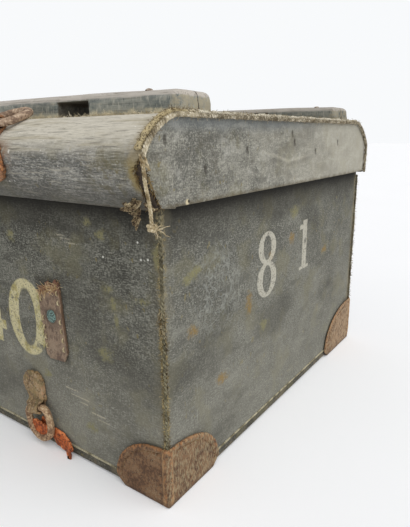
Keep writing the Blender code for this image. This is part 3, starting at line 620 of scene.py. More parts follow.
def stains(cloth, marks):
    """Rust and mildew where something lay: each mark is a place, half its width and height, and a colour."""
    ragged = (cloth.grain(0.006, 6, 300, rough=0.6) - 0.5) * 2.2
    worn = cloth.grain(0.0022, 4, 302).ease(0.30, 0.52)
    for point, (wide, tall), shade in marks:
        aside = cloth.node("ShaderNodeVectorMath", {"operation": "SUBTRACT"}, {0: cloth.here, 1: point})
        share = {0: aside, 1: (1 / wide, 1 / wide, 1 / tall)}
        aside = cloth.node("ShaderNodeVectorMath", {"operation": "MULTIPLY"}, share)
        away = cloth.node("ShaderNodeVectorMath", {"operation": "LENGTH"}, {0: aside}, "Value")
        cloth.lay(shade, (away + ragged).ease(1.15, 0.25) * worn * 0.8)


print("canvas words:", ", ".join(word.__name__ for word in (canvas, bars, ovals, stains)))

# %% [markdown]
# Rust and mildew have marked the body where straps, nails and wet straw lay. They could be left to noise
# alone, but a few are large enough to be known by, so each row gives one mark in millimetres: its place on
# the end or the front and half its width and height.

# %% Marks on the body
END_X, FRONT_Y = 0.400, -0.236
RUST, MILDEW = (138, 112, 64), (130, 125, 90)
END_RUST = [
    (-93, 156, 8.5, 15), (-194.5, 160, 11, 6.5), (-146, 92, 13, 7), (9.4, 212, 9, 9), (-44, 200, 8, 6),
    (118, 176, 9, 6),
]
END_MILDEW = [
    (-201, 210.5, 8.5, 5.5), (-194, 213.5, 8.5, 5.5), (-187, 216.5, 8.5, 5.5), (-57, 121, 12, 8),
    (14, 243, 14, 9),
]
FRONT_MILDEW = [
    (328, 134, 12, 9), (301, 46, 9, 7), (236, 87, 8, 6), (331, 249, 8, 6), (314, 259, 6, 5), (196, 235, 8, 8),
    (337, 200, 8, 4.5), (342, 187, 4.5, 10), (345.5, 172, 4.5, 7), (378.5, 196, 10, 4), (396, 236, 6, 13),
    (-150, 190, 11, 9), (-300, 120, 12, 10), (-20, 70, 10, 8),
]
STAINS = []
for rows, shade in ((END_RUST, RUST), (END_MILDEW, MILDEW), (FRONT_MILDEW, MILDEW)):
    for aside, up, wide, tall in rows:
        x, y = (aside / 1000, FRONT_Y) if rows is FRONT_MILDEW else (END_X, aside / 1000)
        STAINS.append(((x, y, up / 1000), (wide / 1000, tall / 1000), shade))
PALE_CHIPS = [(0.3754, 0.2475), (0.3783, 0.2330), (0.3861, 0.2341), (0.3329, 0.2294)]
print(len(STAINS), "stains and", len(PALE_CHIPS), "chips")

# %% [markdown]
# The body also carries old paint: plain figures, white on the end and yellowish on the front, with a few
# scratches. Text would need a font, so each figure is a few bars and ovals, masked by distance and rubbed
# away by noise.

# %% Painted figures
END_OVALS = [((-0.053, 0.2110), (0.0205, 0.0185)), ((-0.053, 0.1745), (0.0230, 0.0210))]
END_BARS = [
    ((0.042, 0.055), (0.166, 0.228)), ((0.034, 0.063), (0.164, 0.168)), ((0.033, 0.044), (0.217, 0.223)),
]
FRONT_OVALS = [((0.210, 0.146), (0.0330, 0.0430))]
FRONT_BARS = [
    ((0.146, 0.159), (0.106, 0.186)), ((0.105, 0.168), (0.122, 0.133)), ((0.108, 0.120), (0.133, 0.184)),
]
PALE_SCRATCHES = [
    ((0.264, 0.283), (0.0800, 0.0812)), ((0.272, 0.299), (0.0744, 0.0753)),
    ((0.286, 0.297), (0.0692, 0.0700)), ((0.302, 0.322), (0.0628, 0.0641)),
    ((0.311, 0.327), (0.0583, 0.0590)), ((0.276, 0.289), (0.2398, 0.2408)),
    ((0.281, 0.296), (0.2362, 0.2370)), ((0.271, 0.282), (0.2426, 0.2433)),
]
DARK_SCORES = [((-0.029, -0.001), (0.2988, 0.3004)), ((-0.022, -0.006), (0.2940, 0.2952))]


def figures(cloth, blot, on_end, on_front):
    rubbed = cloth.grain(0.013, 5, 31).ease(0.30, 0.42)
    worn = cloth.grain(0.0019, 5, 33, rough=0.6).ease(0.30, 0.52) * rubbed
    right = cloth.x.ease(-0.1, 0.1)
    white = ovals(cloth.y, cloth.z, END_OVALS) | bars(cloth.y, cloth.z, END_BARS)
    cloth.lay((200, 195, 179), white * on_end * right * worn * 0.72)
    yellow = ovals(cloth.x, cloth.z, FRONT_OVALS) | bars(cloth.x, cloth.z, FRONT_BARS)
    aged = cloth.blend((206, 196, 154), (172, 160, 104), blot.ease(0.48, 0.62))
    cloth.lay(aged, yellow * on_front * worn * 0.84)
    leaning = cloth.x * 0.745 - cloth.z * 0.667
    rising = cloth.x * 0.667 + cloth.z * 0.745
    cloth.lay((46, 44, 40), bars(leaning, rising, DARK_SCORES) * on_front * 0.6)
    cloth.lay((184, 176, 154), bars(cloth.x, cloth.z, PALE_SCRATCHES) * on_front * worn * 0.8)


print("figures of", len(END_OVALS + END_BARS + FRONT_OVALS + FRONT_BARS), "strokes")

# %% [markdown]
# The body's finish takes the canvas recipe and ages it by place: dust low down, painted light that makes the
# whole end a little paler, painted shadow under the lid's edge and a dark line right beneath it that is both
# painted shadow and dirt, wear and crust along the corners, a dark edge round the strap tabs, and a patch of
# fine crinkles on the near end.

# %% Body canvas finish
def body_canvas_finish():
    cloth, height = canvas("body_canvas_cloth", (66, 65, 59), (106, 105, 96), (142, 141, 130), 0)
    blot = cloth.grain(0.012, 6, 4, rough=0.6)
    on_end = cloth.x.size().ease(END_X - 0.0015, END_X - 0.0008)
    on_front = cloth.y.ease(FRONT_Y + 0.0015, FRONT_Y + 0.0008)
    low = (cloth.z + cloth.grain(0.05, 4, 5) * 0.10).ease(0.28, 0.08)
    cloth.lay((156, 153, 140), low * (0.40 - on_end * 0.12))
    # Painted light: the whole end is laid a little paler, as the side that faces the lamp.
    cloth.lay((156, 155, 146), on_end * 0.12)
    smoke = cloth.grain(0.06, 6, 6, stretch=(2, 2, 1), turn=(0, 0.4, 0)).ease(0.48, 0.66)
    cloth.lay((60, 58, 52), smoke * 0.4)
    # Painted shadow: the canvas darkens upwards towards the lid's edge, where the lid's shade falls.
    cloth.lay((48, 46, 40), (cloth.z + blot * 0.016).ease(0.240, 0.280) * 0.75)
    uneven = cloth.z + blot * 0.008
    cloth.lay((84, 83, 70), uneven.ease(0.289, 0.296) * 0.7)
    # A dark line just below the lid's edge: painted shadow, and dirt that collects there.
    cloth.lay((30, 28, 25), uneven.ease(0.264, 0.279) * uneven.ease(0.296, 0.289) * 0.75)
    crinkled = cloth.near((END_X, -0.155, 0.190), 0.062)
    narrow, wide = (
        cloth.grain(size, 1, size * 900, stretch=(1, 1, 1.3), turn=(0.6, 0, 0)) for size in (0.009, 0.013))
    ridges = ((narrow - 0.5).size().ease(0.05, 0.0) | (wide - 0.5).size().ease(0.04, 0.0)) * crinkled
    cloth.lay((164, 166, 158), ridges * 0.40)
    height = height + ridges * 0.8
    corner = cloth.x.size() + cloth.y.size()
    cloth.lay((128, 121, 100), (corner + cloth.grain(0.02, 4, 8) * 0.03).ease(0.634, 0.651) * 0.3)
    close = (corner + cloth.grain(0.007, 5, 9) * 0.012).ease(0.6345, 0.6405)
    cloth.lay((150, 138, 106), close * cloth.grain(0.003, 4, 10).ease(0.44, 0.56) * 0.7)
    crusty = (corner + blot * 0.012).ease(0.6345, 0.6425) * cloth.z.ease(0.205, 0.180)
    cloth.lay((78, 64, 44), crusty * cloth.grain(0.004, 5, 12).ease(0.36, 0.56) * 0.6)
    beside_tab = (cloth.x.size() - 0.2517 + (cloth.z - 0.150) * 0.07).size() - 0.0165 + (blot - 0.5) * 0.008
    halo = beside_tab.ease(0.0050, 0.0) * (cloth.z - 0.152).size().ease(0.050, 0.040) * on_front
    cloth.lay((50, 46, 40), halo * 0.55)
    stains(cloth, STAINS)
    for x, z in PALE_CHIPS:
        cloth.lay((214, 212, 202), cloth.near((x, FRONT_Y, z), 0.0014))
    figures(cloth, blot, on_end, on_front)
    return cloth.paint(height, 0.0009)


body_cloth_finish = body_canvas_finish()
print(body_cloth_finish.name, len(body_cloth_finish.node_tree.nodes), "nodes")

# %% [markdown]
# The body's cover is one strip of cloth glued round the carcass, folded over the rim and tucked down
# inside. By hand that is a plane whose border is drawn up, in and down. The upright corners are rounded
# with a bevel, the walls are subdivided into a grid, and the grid is pressed in and out a little where the
# glue has let go.

# %% Body canvas
WALL_STEPS = [
    (0.4000, 0.2360, 0.0134), (0.4000, 0.2360, 0.3140), (0.3864, 0.2224, 0.3140), (0.3864, 0.2224, 0.2890),
]


def outward(obj):
    """Turn every face outwards."""
    edit(obj)
    bpy.ops.mesh.normals_make_consistent(inside=False)
    done()


def wrap(steps, corner):
    """A strip of cloth round a box: half length, half depth and height at each step."""
    x, y, z = steps[0]
    strip = add(bpy.ops.mesh.primitive_plane_add, (x, y, 1), size=2, location=(0, 0, z))
    edit(strip)
    bpy.ops.mesh.delete(type="ONLY_FACE")
    bpy.ops.mesh.select_mode(type="EDGE")
    bpy.ops.mesh.select_all(action="SELECT")
    for next_x, next_y, next_z in steps[1:]:
        bpy.ops.mesh.extrude_region_move(TRANSFORM_OT_translate={"value": (0, 0, next_z - z)})
        bpy.ops.transform.resize(value=(next_x / x, next_y / y, 1), center_override=(0, 0, 0))
        x, y, z = next_x, next_y, next_z
    done()
    edit(strip, "EDGE", lambda middle, run: abs(run.z) > 0.001 or abs(abs(run.x) - abs(run.y)) < 0.001)
    bpy.ops.mesh.bevel(offset=corner, segments=3, affect="EDGES")
    done()
    outward(strip)
    return strip


def grid(obj, size):
    """Cut every long edge so that the faces come near to squares of this size."""
    for axis in range(3):
        points = obj.data.vertices
        runs = [points[b].co - points[a].co for a, b in (edge.vertices for edge in obj.data.edges)]
        spans = {round(r.length, 4) for r in runs if abs(r[axis]) > max(2 * size, 0.9 * r.length)}
        for span in sorted(spans):
            edit(obj, "EDGE", lambda middle, r: (
                abs(abs(r[axis]) - span) < 0.0002 and abs(r[axis]) > 0.9 * r.length))
            bpy.ops.mesh.subdivide(number_cuts=min(100, round(span / size) - 1))
            done()


def slack(place):
    """How far the glued canvas stands off the boards."""
    return 0.00045 * cloud(place, 0.075) + 0.00022 * cloud(place, 0.026, 3) + 0.00008 * cloud(place, 0.011, 5)


body_cloth = wrap(WALL_STEPS, 0.0008)
grid(body_cloth, 0.0065)
press(body_cloth, lambda place, normal: slack(place) if abs(normal.z) < 0.5 else 0.0)
modify(body_cloth, "SOLIDIFY", thickness=0.0012, offset=-1)
place(body_cloth, "body_cloth", body_cloth_finish, "trunk", "canvas", "body_canvas")

# %% [markdown]
# The base is a tray of the same canvas, drawn up the boards to the welt. It could be drawn up from a plane,
# but the frame has it already, so a merged copy is cut into a grid and pressed a little. It is dark with
# dirt and rubbed in patches. The welt over its edge is one thin cord laid round the trunk.

# %% Base canvas and welt
def base_canvas_finish():
    cloth, height = canvas("base_canvas_cloth", (62, 60, 54), (88, 85, 76), (118, 114, 102), 40)
    cloth.lay((120, 110, 90), cloth.grain(0.018, 4, 44).ease(0.5, 0.66) * 0.6)
    return cloth.paint(height, 0.0006)


base_cloth = cad_copy("bottom_canvas")
edit(base_cloth, "EDGE", lambda middle, run: (
    abs(run.z) > 0.005 and abs(middle.x) > 0.399 and abs(middle.y) > 0.235))
bpy.ops.mesh.bevel(offset=0.0008, segments=2, affect="EDGES")
done()
grid(base_cloth, 0.012)
press(base_cloth, lambda place, normal: (
    0.0003 * cloud(place, 0.03, 2) - 0.0002 if abs(normal.z) < 0.5 else 0.0))
base_finish = base_canvas_finish()
place(base_cloth, "base_cloth", base_finish, "trunk", "canvas", "bottom_canvas")

welt_low, welt_high = box("bottom_welt")
welt_wide = (welt_high.z - welt_low.z) / 2
welt_x, welt_y, welt_z = welt_high.x - welt_wide, welt_high.y - welt_wide, (welt_low.z + welt_high.z) / 2
welt_line = []
for corner_x, corner_y, start in ((1, 1, 0.0), (-1, 1, 0.25), (-1, -1, 0.5), (1, -1, 0.75)):
    for i in range(5):
        turn = math.tau * (start + i / 16)
        curl = Vector((math.cos(turn), math.sin(turn), 0)) * 0.001
        middle = Vector((corner_x * (welt_x - 0.001), corner_y * (welt_y - 0.001), welt_z))
        welt_line.append(middle + curl)
welt_path = even(welt_line + [welt_line[0]], 0.005)[:-1]
welt_run = [(*p, 1 + 0.10 * cloud(p, 0.012, 4)) for p in welt_path]
welt = wires("base_welt", [welt_run], welt_wide, closed=True, sides=2)
press(welt, lambda place, normal: 0.00012 * cloud(place, 0.004, 6))
welt_twine = twine("welt_twine", (112, 105, 84), (160, 152, 126), (200, 192, 166), 13)
place(welt, "base_welt", welt_twine, "trunk", "cord", "bottom_welt")

# %% [markdown]
# The corded seams stand on the four corners, between the lid and the leather caps. Each is a two-strand
# cord with dirt in its twist. Fibres stand off it all the way, thickest where hands and ropes have caught
# it.

# %% Corner seams
crust_twine = twine("crust_twine", (74, 62, 42), (136, 120, 82), (198, 182, 138), 23)
seam_twine = twine("seam_twine", (78, 73, 58), (112, 106, 86), (152, 145, 118), 19)


def seam(node, thickest, seed):
    low, high = box(node)
    middle = (low + high) / 2
    middle -= Vector((math.copysign(0.0005, middle.x), math.copysign(0.0005, middle.y), 0))
    line = even([(middle.x, middle.y, high.z), (middle.x, middle.y, low.z)], 0.004)
    sway = [p + Vector((0.0003 * cloud(p, 0.03, seed), 0.0003 * cloud(p, 0.03, seed + 2), 0)) for p in line]
    cord = rope(node + "_twist", sway, 0.0018, 0.0085, Vector((1, 0.3, 0)), strands=2, slack=0.3, seed=seed)
    place(cord, node + "_twist", seam_twine, "trunk", "cord", node)
    dice = random.Random(seed)
    out = Vector((math.copysign(1, middle.x), math.copysign(1, middle.y), 0))
    crust, tuft = [], []
    for _ in range(560):
        side = dice.choice((Vector((out.x, -0.6 * out.y, 0)), Vector((-0.6 * out.x, out.y, 0))))
        reach = high.z if dice.random() < 0.3 else thickest + 0.006
        root = Vector((middle.x, middle.y, dice.uniform(low.z, reach))) + side * dice.uniform(0.0008, 0.0022)
        crust.append((root, side * 0.4 + Vector((0, 0, dice.uniform(-1.2, 0.8)))))
    for _ in range(80):
        root = Vector((middle.x - out.x * dice.uniform(0, 0.004), middle.y, dice.gauss(thickest, 0.006)))
        heading = Vector((dice.uniform(-1.5, 1.5), dice.uniform(-1.5, 1.5), dice.uniform(-0.6, 0.8)))
        tuft.append((root, out + heading))
    for part, roots, reach, finish in (
        ("_fray", crust, 0.0030, crust_twine), ("_tuft", tuft, 0.0050, loose_twine),
    ):
        fibres = fray(node + part, roots, reach, 0.00028, seed + 5, droop=0.15)
        place(fibres, node + part, finish, "trunk", "cord")


for node, thickest, seed in (
    ("corner_seam_front_right", 0.181, 51), ("corner_seam_front_left", 0.11, 52),
    ("corner_seam_back_right", 0.20, 53), ("corner_seam_back_left", 0.14, 54),
):
    seam(node, thickest, seed)

# %% [markdown]
# The lid's canvas is drawn tight over its rolled edge, so its wrinkles and wear run along the trunk. Its
# finish takes the canvas recipe and lays beige dust on the upper side, long worn lines on the roll, dirt
# along the lower edge and painted shade over the lower part of the roll. Height above the floor tells the
# finish where it is, because the lid is modelled closed.

# %% Lid canvas finish
def lid_canvas_finish():
    cloth, height = canvas(
        "lid_canvas_cloth", (92, 92, 88), (136, 135, 129), (184, 181, 172), 60, (2, 1, 1), 0.7)
    streak = cloth.grain(0.0022, 5, 61, stretch=(12, 1, 1), rough=0.6)
    long_wear = cloth.grain(0.009, 6, 62, stretch=(8, 1, 1), rough=0.6)
    patch = cloth.grain(0.05, 3, 63, stretch=(2.5, 1, 1))
    dirt = cloth.grain(0.010, 7, 68, rough=0.62)
    blotch = cloth.grain(0.07, 9, 69, rough=0.64)
    flat = (cloth.y.size() + blotch * 0.03).ease(0.215, 0.175)
    dusty = (cloth.z + patch * 0.018 + long_wear * 0.014).ease(0.331, 0.352) * (1 - flat * 0.30)
    cloth.lay((216, 209, 193), dusty * 0.82)
    cloth.lay((168, 158, 134), dusty * long_wear.ease(0.50, 0.64) * 0.65)
    cloth.lay((112, 106, 90), flat * blotch.ease(0.44, 0.76) * 0.6)
    hair = cloth.grain(0.0010, 5, 64, stretch=(12, 1, 1), rough=0.65)
    cloth.lay((118, 112, 98), hair.ease(0.48, 0.34) * 0.55)
    cloth.lay((222, 216, 202), hair.ease(0.54, 0.68) * 0.35)
    lines = 1 - flat * 0.7
    cloth.lay((176, 170, 154), streak.ease(0.54, 0.68) * lines * 0.6)
    cloth.lay((84, 82, 76), streak.ease(0.46, 0.34) * lines * (0.5 - dusty * 0.18))
    crease = cloth.grain(0.0026, 3, 66, stretch=(15, 1, 1)).ease(0.62, 0.69)
    cloth.lay((62, 59, 53), crease * lines * (0.6 - dusty * 0.2))
    chips = cloth.grain(0.0042, 3, 58).ease(0.71, 0.76)
    cloth.lay((228, 225, 216), chips * 0.75)
    mossy = cloth.near((0.375, -0.262, 0.300), 0.040) | cloth.near((0.200, -0.258, 0.296), 0.030)
    cloth.lay((112, 104, 76), mossy * dirt.ease(0.44, 0.60) * 0.55)
    by_tear = cloth.near((0.3985, -0.260, 0.302), 0.018) * cloth.x.ease(0.388, 0.397)
    cloth.lay((148, 130, 74), by_tear * dirt.ease(0.36, 0.52) * 0.8)
    lip = (cloth.z + dirt * 0.008).ease(0.2835, 0.2800) * cloth.x.size().ease(0.30, 0.37)
    cloth.lay((104, 88, 60), lip * 0.6)
    runs = cloth.grain(0.006, 6, 67, rough=0.6).ease(0.36, 0.56)
    for side in (1, -1):
        rusty = cloth.near((side * 0.2340, -0.2655, 0.318), 0.022) * cloth.z.ease(0.336, 0.328)
        cloth.lay((134, 102, 78), rusty * runs * 0.6)
    by_hem = (cloth.x.size() + dirt * 0.030).ease(0.405, 0.418)
    by_foot = (cloth.y + dirt * 0.012 + 0.1995).size().ease(0.009, 0.002)
    cloth.lay((150, 134, 100), by_hem * 0.55)
    cloth.lay((206, 194, 164), by_foot * 0.7)
    # Painted shade: the lower part of the roll, which curves under, is laid darker.
    under = (cloth.z + patch * 0.014).ease(0.312, 0.288)
    cloth.lay((78, 76, 70), under * 0.65)
    return cloth.paint(height * 0.6 + streak * 0.4, 0.0008)


lid_cloth_finish = lid_canvas_finish()
print(lid_cloth_finish.name, len(lid_cloth_finish.node_tree.nodes), "nodes")

# %% [markdown]
# The lid's ends are flat and drier than the roll. The finish lets drifts of dust and old drips run over the
# cloth, sets a dark mark at each tack, and draws one soft fold across the middle with a little relief, a
# painted highlight along its crest and painted shade just below.

# %% Lid end finish
PANEL_X = 0.407
END_TACKS = [
    (-0.235, 0.3315), (-0.182, 0.3065), (-0.112, 0.3205), (-0.0135, 0.3355), (-0.007, 0.326), (0.054, 0.3145),
    (0.129, 0.324),
]


def lid_end_finish():
    cloth, height = canvas(
        "lid_end_cloth", (90, 89, 83), (136, 134, 124), (184, 181, 168), 70, (1, 1, 1), 0.55)
    patch = cloth.grain(0.03, 4, 73)
    drift = cloth.grain(0.018, 9, 79, stretch=(1, 1.6, 1), rough=0.66)
    cloth.lay((88, 84, 74), drift.ease(0.47, 0.34) * 0.6)
    cloth.lay((184, 182, 172), drift.ease(0.53, 0.66) * 0.45)
    back = (cloth.y + patch * 0.16).ease(-0.10, 0.30)
    cloth.lay((186, 181, 166), back * 0.6)
    stain = (cloth.y + patch * 0.12 + cloth.grain(0.012, 4, 75) * 0.05).ease(-0.165, -0.215)
    cloth.lay((84, 76, 66), stain * 0.6)
    rim = (cloth.z + cloth.grain(0.006, 5, 76) * 0.008).ease(0.2865, 0.2815)
    cloth.lay((92, 82, 62), rim * 0.6)
    drips = cloth.grain(0.006, 3, 77, stretch=(1, 1, 6)).ease(0.58, 0.7)
    cloth.lay((160, 156, 142), drips * 0.25)
    cool = (cloth.z + patch * 0.012).ease(0.338, 0.350) * cloth.y.ease(0.12, -0.05)
    cloth.lay((112, 117, 118), cool * 0.6)
    for y, z in END_TACKS:
        for drop in (0.0, 0.0034):
            cloth.lay((56, 51, 44), cloth.near((PANEL_X, y, z - drop), 0.0034) * (0.75 - drop * 60))
    aside = cloth.y + 0.022
    above = cloth.z - 0.3045 - aside.size() * 0.14 + aside * 0.06 + (patch - 0.5) * 0.004
    about = cloth.near((PANEL_X, -0.022, 0.309), 0.080)
    fold = above.size().ease(0.0030, 0.0) * about
    # Painted highlight along the fold's crest, then painted shade just below it.
    cloth.lay((196, 190, 172), fold * 0.26)
    cloth.lay((92, 88, 78), (above + 0.0040).size().ease(0.0032, 0.0) * about * 0.22)
    height = height + fold * 0.3
    cloth.lay((206, 192, 158), cloth.near((PANEL_X, -0.2085, 0.2800), 0.0034))
    cloth.lay((38, 32, 28), cloth.near((PANEL_X, -0.2065, 0.2805), 0.0020))
    return cloth.paint(height, 0.0008)


lid_panel_finish = lid_end_finish()
print(lid_panel_finish.name, len(lid_panel_finish.node_tree.nodes), "nodes")

# %% [markdown]
# The frame already has the lid's rolled section, so its canvas starts as a copy of that solid. Its long
# faces are cut across, a Subdivision Surface rounds the section, and the points are pressed into long soft
# ripples. At the near corner the cloth has torn away from the rope, so its end is drawn back there along a
# ragged line.

# %% Lid canvas
TEAR_TOP = 0.319
TEAR_DEEP = 0.0090


def torn(z):
    """How far the cloth has drawn back from the lid's end at this height."""
    near = smooth(TEAR_TOP - z, 0.0, 0.012)
    ragged = 0.0022 * noise.noise((z / 0.006, 1.7, 0)) + 0.0012 * noise.noise((z / 0.002, 5.1, 0))
    return near * (TEAR_DEEP + ragged)


def ripples(place):
    long_folds = cloud(place, (0.22, 0.013, 0.013), 1) * 0.00030
    small = cloud(place, (0.05, 0.006, 0.006), 7) * 0.00016
    creases = -0.0005 * smooth(cloud(place, (0.12, 0.0065, 0.0065), 11), 0.42, 0.62)
    return long_folds + small + creases + 0.00012


lid_cloth = cad_copy("lid_canvas")
lid_high = box("lid_canvas")[1]
for _ in range(2):
    edit(lid_cloth, "EDGE", lambda middle, run: abs(run.x) > 0.05)
    bpy.ops.mesh.subdivide(number_cuts=13)
    done()
modify(lid_cloth, "SUBSURF", levels=1, render_levels=1)
press(lid_cloth, lambda place, normal: ripples(place))
for point in lid_cloth.data.vertices:
    if point.co.y < -0.20 and point.co.x > 0.39:
        point.co.x = min(point.co.x, lid_high.x - torn(point.co.z))
place(lid_cloth, "lid_cloth", lid_cloth_finish, "lid", "lid_canvas", "lid_canvas")

# %% [markdown]
# Each end of the lid is closed by a flat panel of canvas with the same outline. A grid gives it points all
# over, each row stretched to the width that the frame's panel has at that height. Old tacks have left
# dents, and the cloth is a little slack between them. The near panel stops short of the torn corner.

# %% Lid end panels
def outline(node):
    """The (y, z) outline of a flat panel, from its lower front corner over the top to the back."""
    points = {(round(v.co.y - SHIFT.y, 5), round(v.co.z, 5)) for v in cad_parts[node].data.vertices}
    return sorted(points, key=lambda p: math.atan2(p[0], p[1] - 0.30))


def edges(line, z):
    """Where the panel's front and back edge lie at this height, between two points of its outline."""
    found = []
    for sign in (-1, 1):
        side = sorted((up, y) for y, up in line if y * sign > 0)
        for (low, start), (high, end) in zip(side, side[1:]):
            if low <= z <= high and high > low:
                break
        share = min(1.0, max(0.0, (z - low) / (high - low)))
        found.append(start + (end - start) * share)
    return found


def dents(place):
    """The slack of the near panel, with its tack dents."""
    away = [math.hypot(place.y - y, place.z - z) for y, z in END_TACKS]
    sink = sum(0.0009 * smooth(0.0055 - off, 0, 0.0045) for off in away)
    return 0.00055 * cloud(place, 0.040, 2) + 0.00028 * cloud(place, 0.014, 4) - sink


def end_panel(name, node, seed):
    line = outline(node)
    low, high = box(node)
    outside = high.x if high.x > 0 else low.x
    panel = add(bpy.ops.mesh.primitive_grid_add, x_subdivisions=260, y_subdivisions=40, size=2)
    for point in panel.data.vertices:
        across, up = point.co.x, point.co.y
        z = low.z + (high.z - low.z) * (1 - (1 - up) * (3 + up) / 4 if up > 0 else (up + 1) / 4)
        front, back = edges(line, z)
        y = front + (back - front) * (across + 1) / 2
        if name.endswith("right"):
            y = max(y, front + 0.25 * torn(z + 0.003))
        point.co = (outside, y, z)
    outward(panel)
    if panel.data.polygons[0].normal.x * outside < 0:
        panel.data.flip_normals()
    press(panel, lambda place, normal: dents(place) if outside > 0 else 0.0002 * cloud(place, 0.03, seed))
    modify(panel, "SOLIDIFY", thickness=0.0013, offset=-1)
    place(panel, name, lid_panel_finish, "lid", "lid_canvas", node)
    return line


end_line = end_panel("lid_end_cloth_right", "lid_end_canvas_right", 1)
end_panel("lid_end_cloth_left", "lid_end_canvas_left", 2)

# %% [markdown]
# The piping is a three-strand rope sewn along each end of the lid, where the roll meets the end panel. Its
# line is the panel's outline set outwards, so it follows every turn of the roll. The near one breaks off
# where the corner is torn. A coat of short fibres makes it look as dry as it is.

# %% Piping
def beside(x, off):
    """The end panel's outline at x, set outwards by off."""
    flat = [Vector(point) for point in end_line]
    line = []
    for i, point in enumerate(flat):
        along = flat[min(i + 1, len(flat) - 1)] - flat[max(i - 1, 0)]
        out = Vector((-along.y, along.x)).normalized() * off
        line.append(Vector((x, point.x + out.x, point.y + out.y)))
    return line


PIPING_FOOT, PIPING_BREAK = 0.27655, 0.3175


def piping(side, seed, broken):
    node = "lid_piping_right" if side > 0 else "lid_piping_left"
    low, high = box(node)
    wide = (high.x - low.x) / 2
    line = beside((low.x + high.x) / 2, high.y - wide - max(y for y, _ in end_line))
    line[0].z = line[-1].z = low.z if not broken else PIPING_FOOT
    if broken:
        line = [p for p in line if p.y > 0 or p.z > PIPING_BREAK]
    fine = even(line, 0.003)
    sway = [p + Vector((0, 0.0004 * cloud(p, 0.02, seed), 0.0004 * cloud(p, 0.02, seed + 3))) for p in fine]
    cord = rope(node + "_twist", sway, wide, 0.0085, Vector((1, 0, 0)), slack=0.22, seed=seed)
    place(cord, node + "_twist", piping_twine, "lid", "cord", node)
    dice = random.Random(seed)
    roots = []
    for _ in range(700):
        i = dice.randrange(1, len(sway) - 1)
        along = (sway[i + 1] - sway[i - 1]).normalized()
        turn = dice.uniform(0, math.tau)
        around = Vector((side, 0, 0)) * math.cos(turn) + along.cross(Vector((1, 0, 0))) * math.sin(turn)
        roots.append((sway[i] + around * 0.0015, around + along * dice.uniform(-1, 1)))
    fibres = fray(node + "_fray", roots, 0.0036, 0.00016, seed + 1, droop=0.05)
    place(fibres, node + "_fray", loose_twine, "lid", "cord")


piping(1, 81, True)
piping(-1, 82, False)

# %% [markdown]
# All the leather is old and dry, in four tones: rusty corner caps, a purplish strap, speckled chapes and
# one orange scrap. One recipe serves them: mottled blots, rubbed high places and dark pores. Each piece
# also carries a mask named edge, 1 along its rim, where hands and boots have rubbed the colour off.
# clay_copy() remeshes a copy of the frame's solid into even points, so that it can be softened, creased and
# worn like clay.

# %% Leather recipe
def leather(name, deep, mid, rubbed, dust, seed, drawn=(1, 1, 1.8)):
    """The ground of a leather finish, and its height."""
    hide = Finish(name, roughness=0.8, specular=0.3)
    broad = hide.grain(0.020, 6, seed)
    mottle = hide.grain(0.0030, 7, seed + 3, stretch=drawn, rough=0.6)
    pores = hide.grain(0.0010, 3, seed + 5)
    edge = hide.rim()
    hide.lay(deep)
    hide.lay(mid, (broad * 0.4 + mottle * 0.6).ease(0.40, 0.58))
    hide.lay(rubbed, (mottle * 0.75 + edge * 0.22).ease(0.50, 0.68) * 0.8)
    hide.lay(dust, (pores * 0.7 + broad * 0.3).ease(0.52, 0.66) * 0.55)
    hide.lay((44, 34, 27), (pores * 0.5 + mottle * 0.5).ease(0.43, 0.33) * 0.6)
    return hide, mottle * 0.6 + pores * 0.4


def clay_copy(node, fine, rounds=3):
    """A copy of a frame solid, remeshed into even points of this size and softened."""
    piece = cad_copy(node)
    modify(piece, "REMESH", mode="VOXEL", voxel_size=fine)
    modify(piece, "SMOOTH", factor=0.5, iterations=rounds)
    return piece


def mark_edge(piece, share):
    """Store the mask that a finish reads with rim()."""
    layer = piece.data.attributes.new("edge", "FLOAT", "POINT")
    layer.data.foreach_set("value", [share(point.co) for point in piece.data.vertices])


def bump(value, middle, width):
    """A soft ridge of height 1."""
    return math.exp(-((value - middle) / width) ** 2)


print("leather words:", ", ".join(word.__name__ for word in (leather, clay_copy, mark_edge, bump)))

# %% [markdown]
# The caps are the rustiest leather: ochre bloom on the ends, a rubbed ridge along the fold with a dark line
# in the groove beside it, and a darker foot. The sewing is only a little paler.

# %% Cap finish
def cap_finish():
    hide, height = leather(
        "cap_leather", (84, 60, 43), (126, 94, 66), (162, 112, 70), (148, 140, 114), 90, (1, 1, 1.3))
    fine = hide.grain(0.0018, 6, 97, stretch=(1, 1, 3), turn=(0.6, 0.6, 0), rough=0.6)
    green = (hide.x.size() + fine * 0.004).ease(0.4032, 0.4056)
    hide.lay((164, 150, 118), green * fine.ease(0.46, 0.58) * 0.55)
    fold = hide.x.size() + hide.y.size() + fine * 0.0014
    hide.lay((176, 140, 98), (fold - 0.6390).size().ease(0.0026, 0.0008) * fine.ease(0.38, 0.52) * 0.7)
    hide.lay((58, 42, 32), (fold - 0.6352).size().ease(0.0012, 0.0002) * fine.ease(0.50, 0.40) * 0.45)
    hide.lay((172, 146, 118), hide.y.ease(0.10, 0.20) * fine.ease(0.38, 0.56) * 0.6)
    foot = (hide.z + hide.grain(0.01, 4, 98) * 0.010).ease(0.013, 0.004)
    hide.lay((58, 40, 33), foot * 0.7)
    return hide.paint(height, 0.0009)


cap_leather = cap_finish()
cap_thread = twine("cap_thread", (88, 64, 44), (132, 104, 74), (160, 138, 104), 101)
print(cap_leather.name, cap_thread.name)

# %% [markdown]
# A corner cap is one piece of thick leather, wetted and drawn over the corner. The fold stands up as a
# ridge along the upright edge, and a sewn groove follows the rim of both lobes. The frame gives each lobe
# as a rounded quarter, so a point's share of the way to the rim is easy to work out, and the groove, the
# rim and the stitches all use it.

# %% Corner caps
CAP_POWER = 2.4
CAP_GROOVE = 0.90


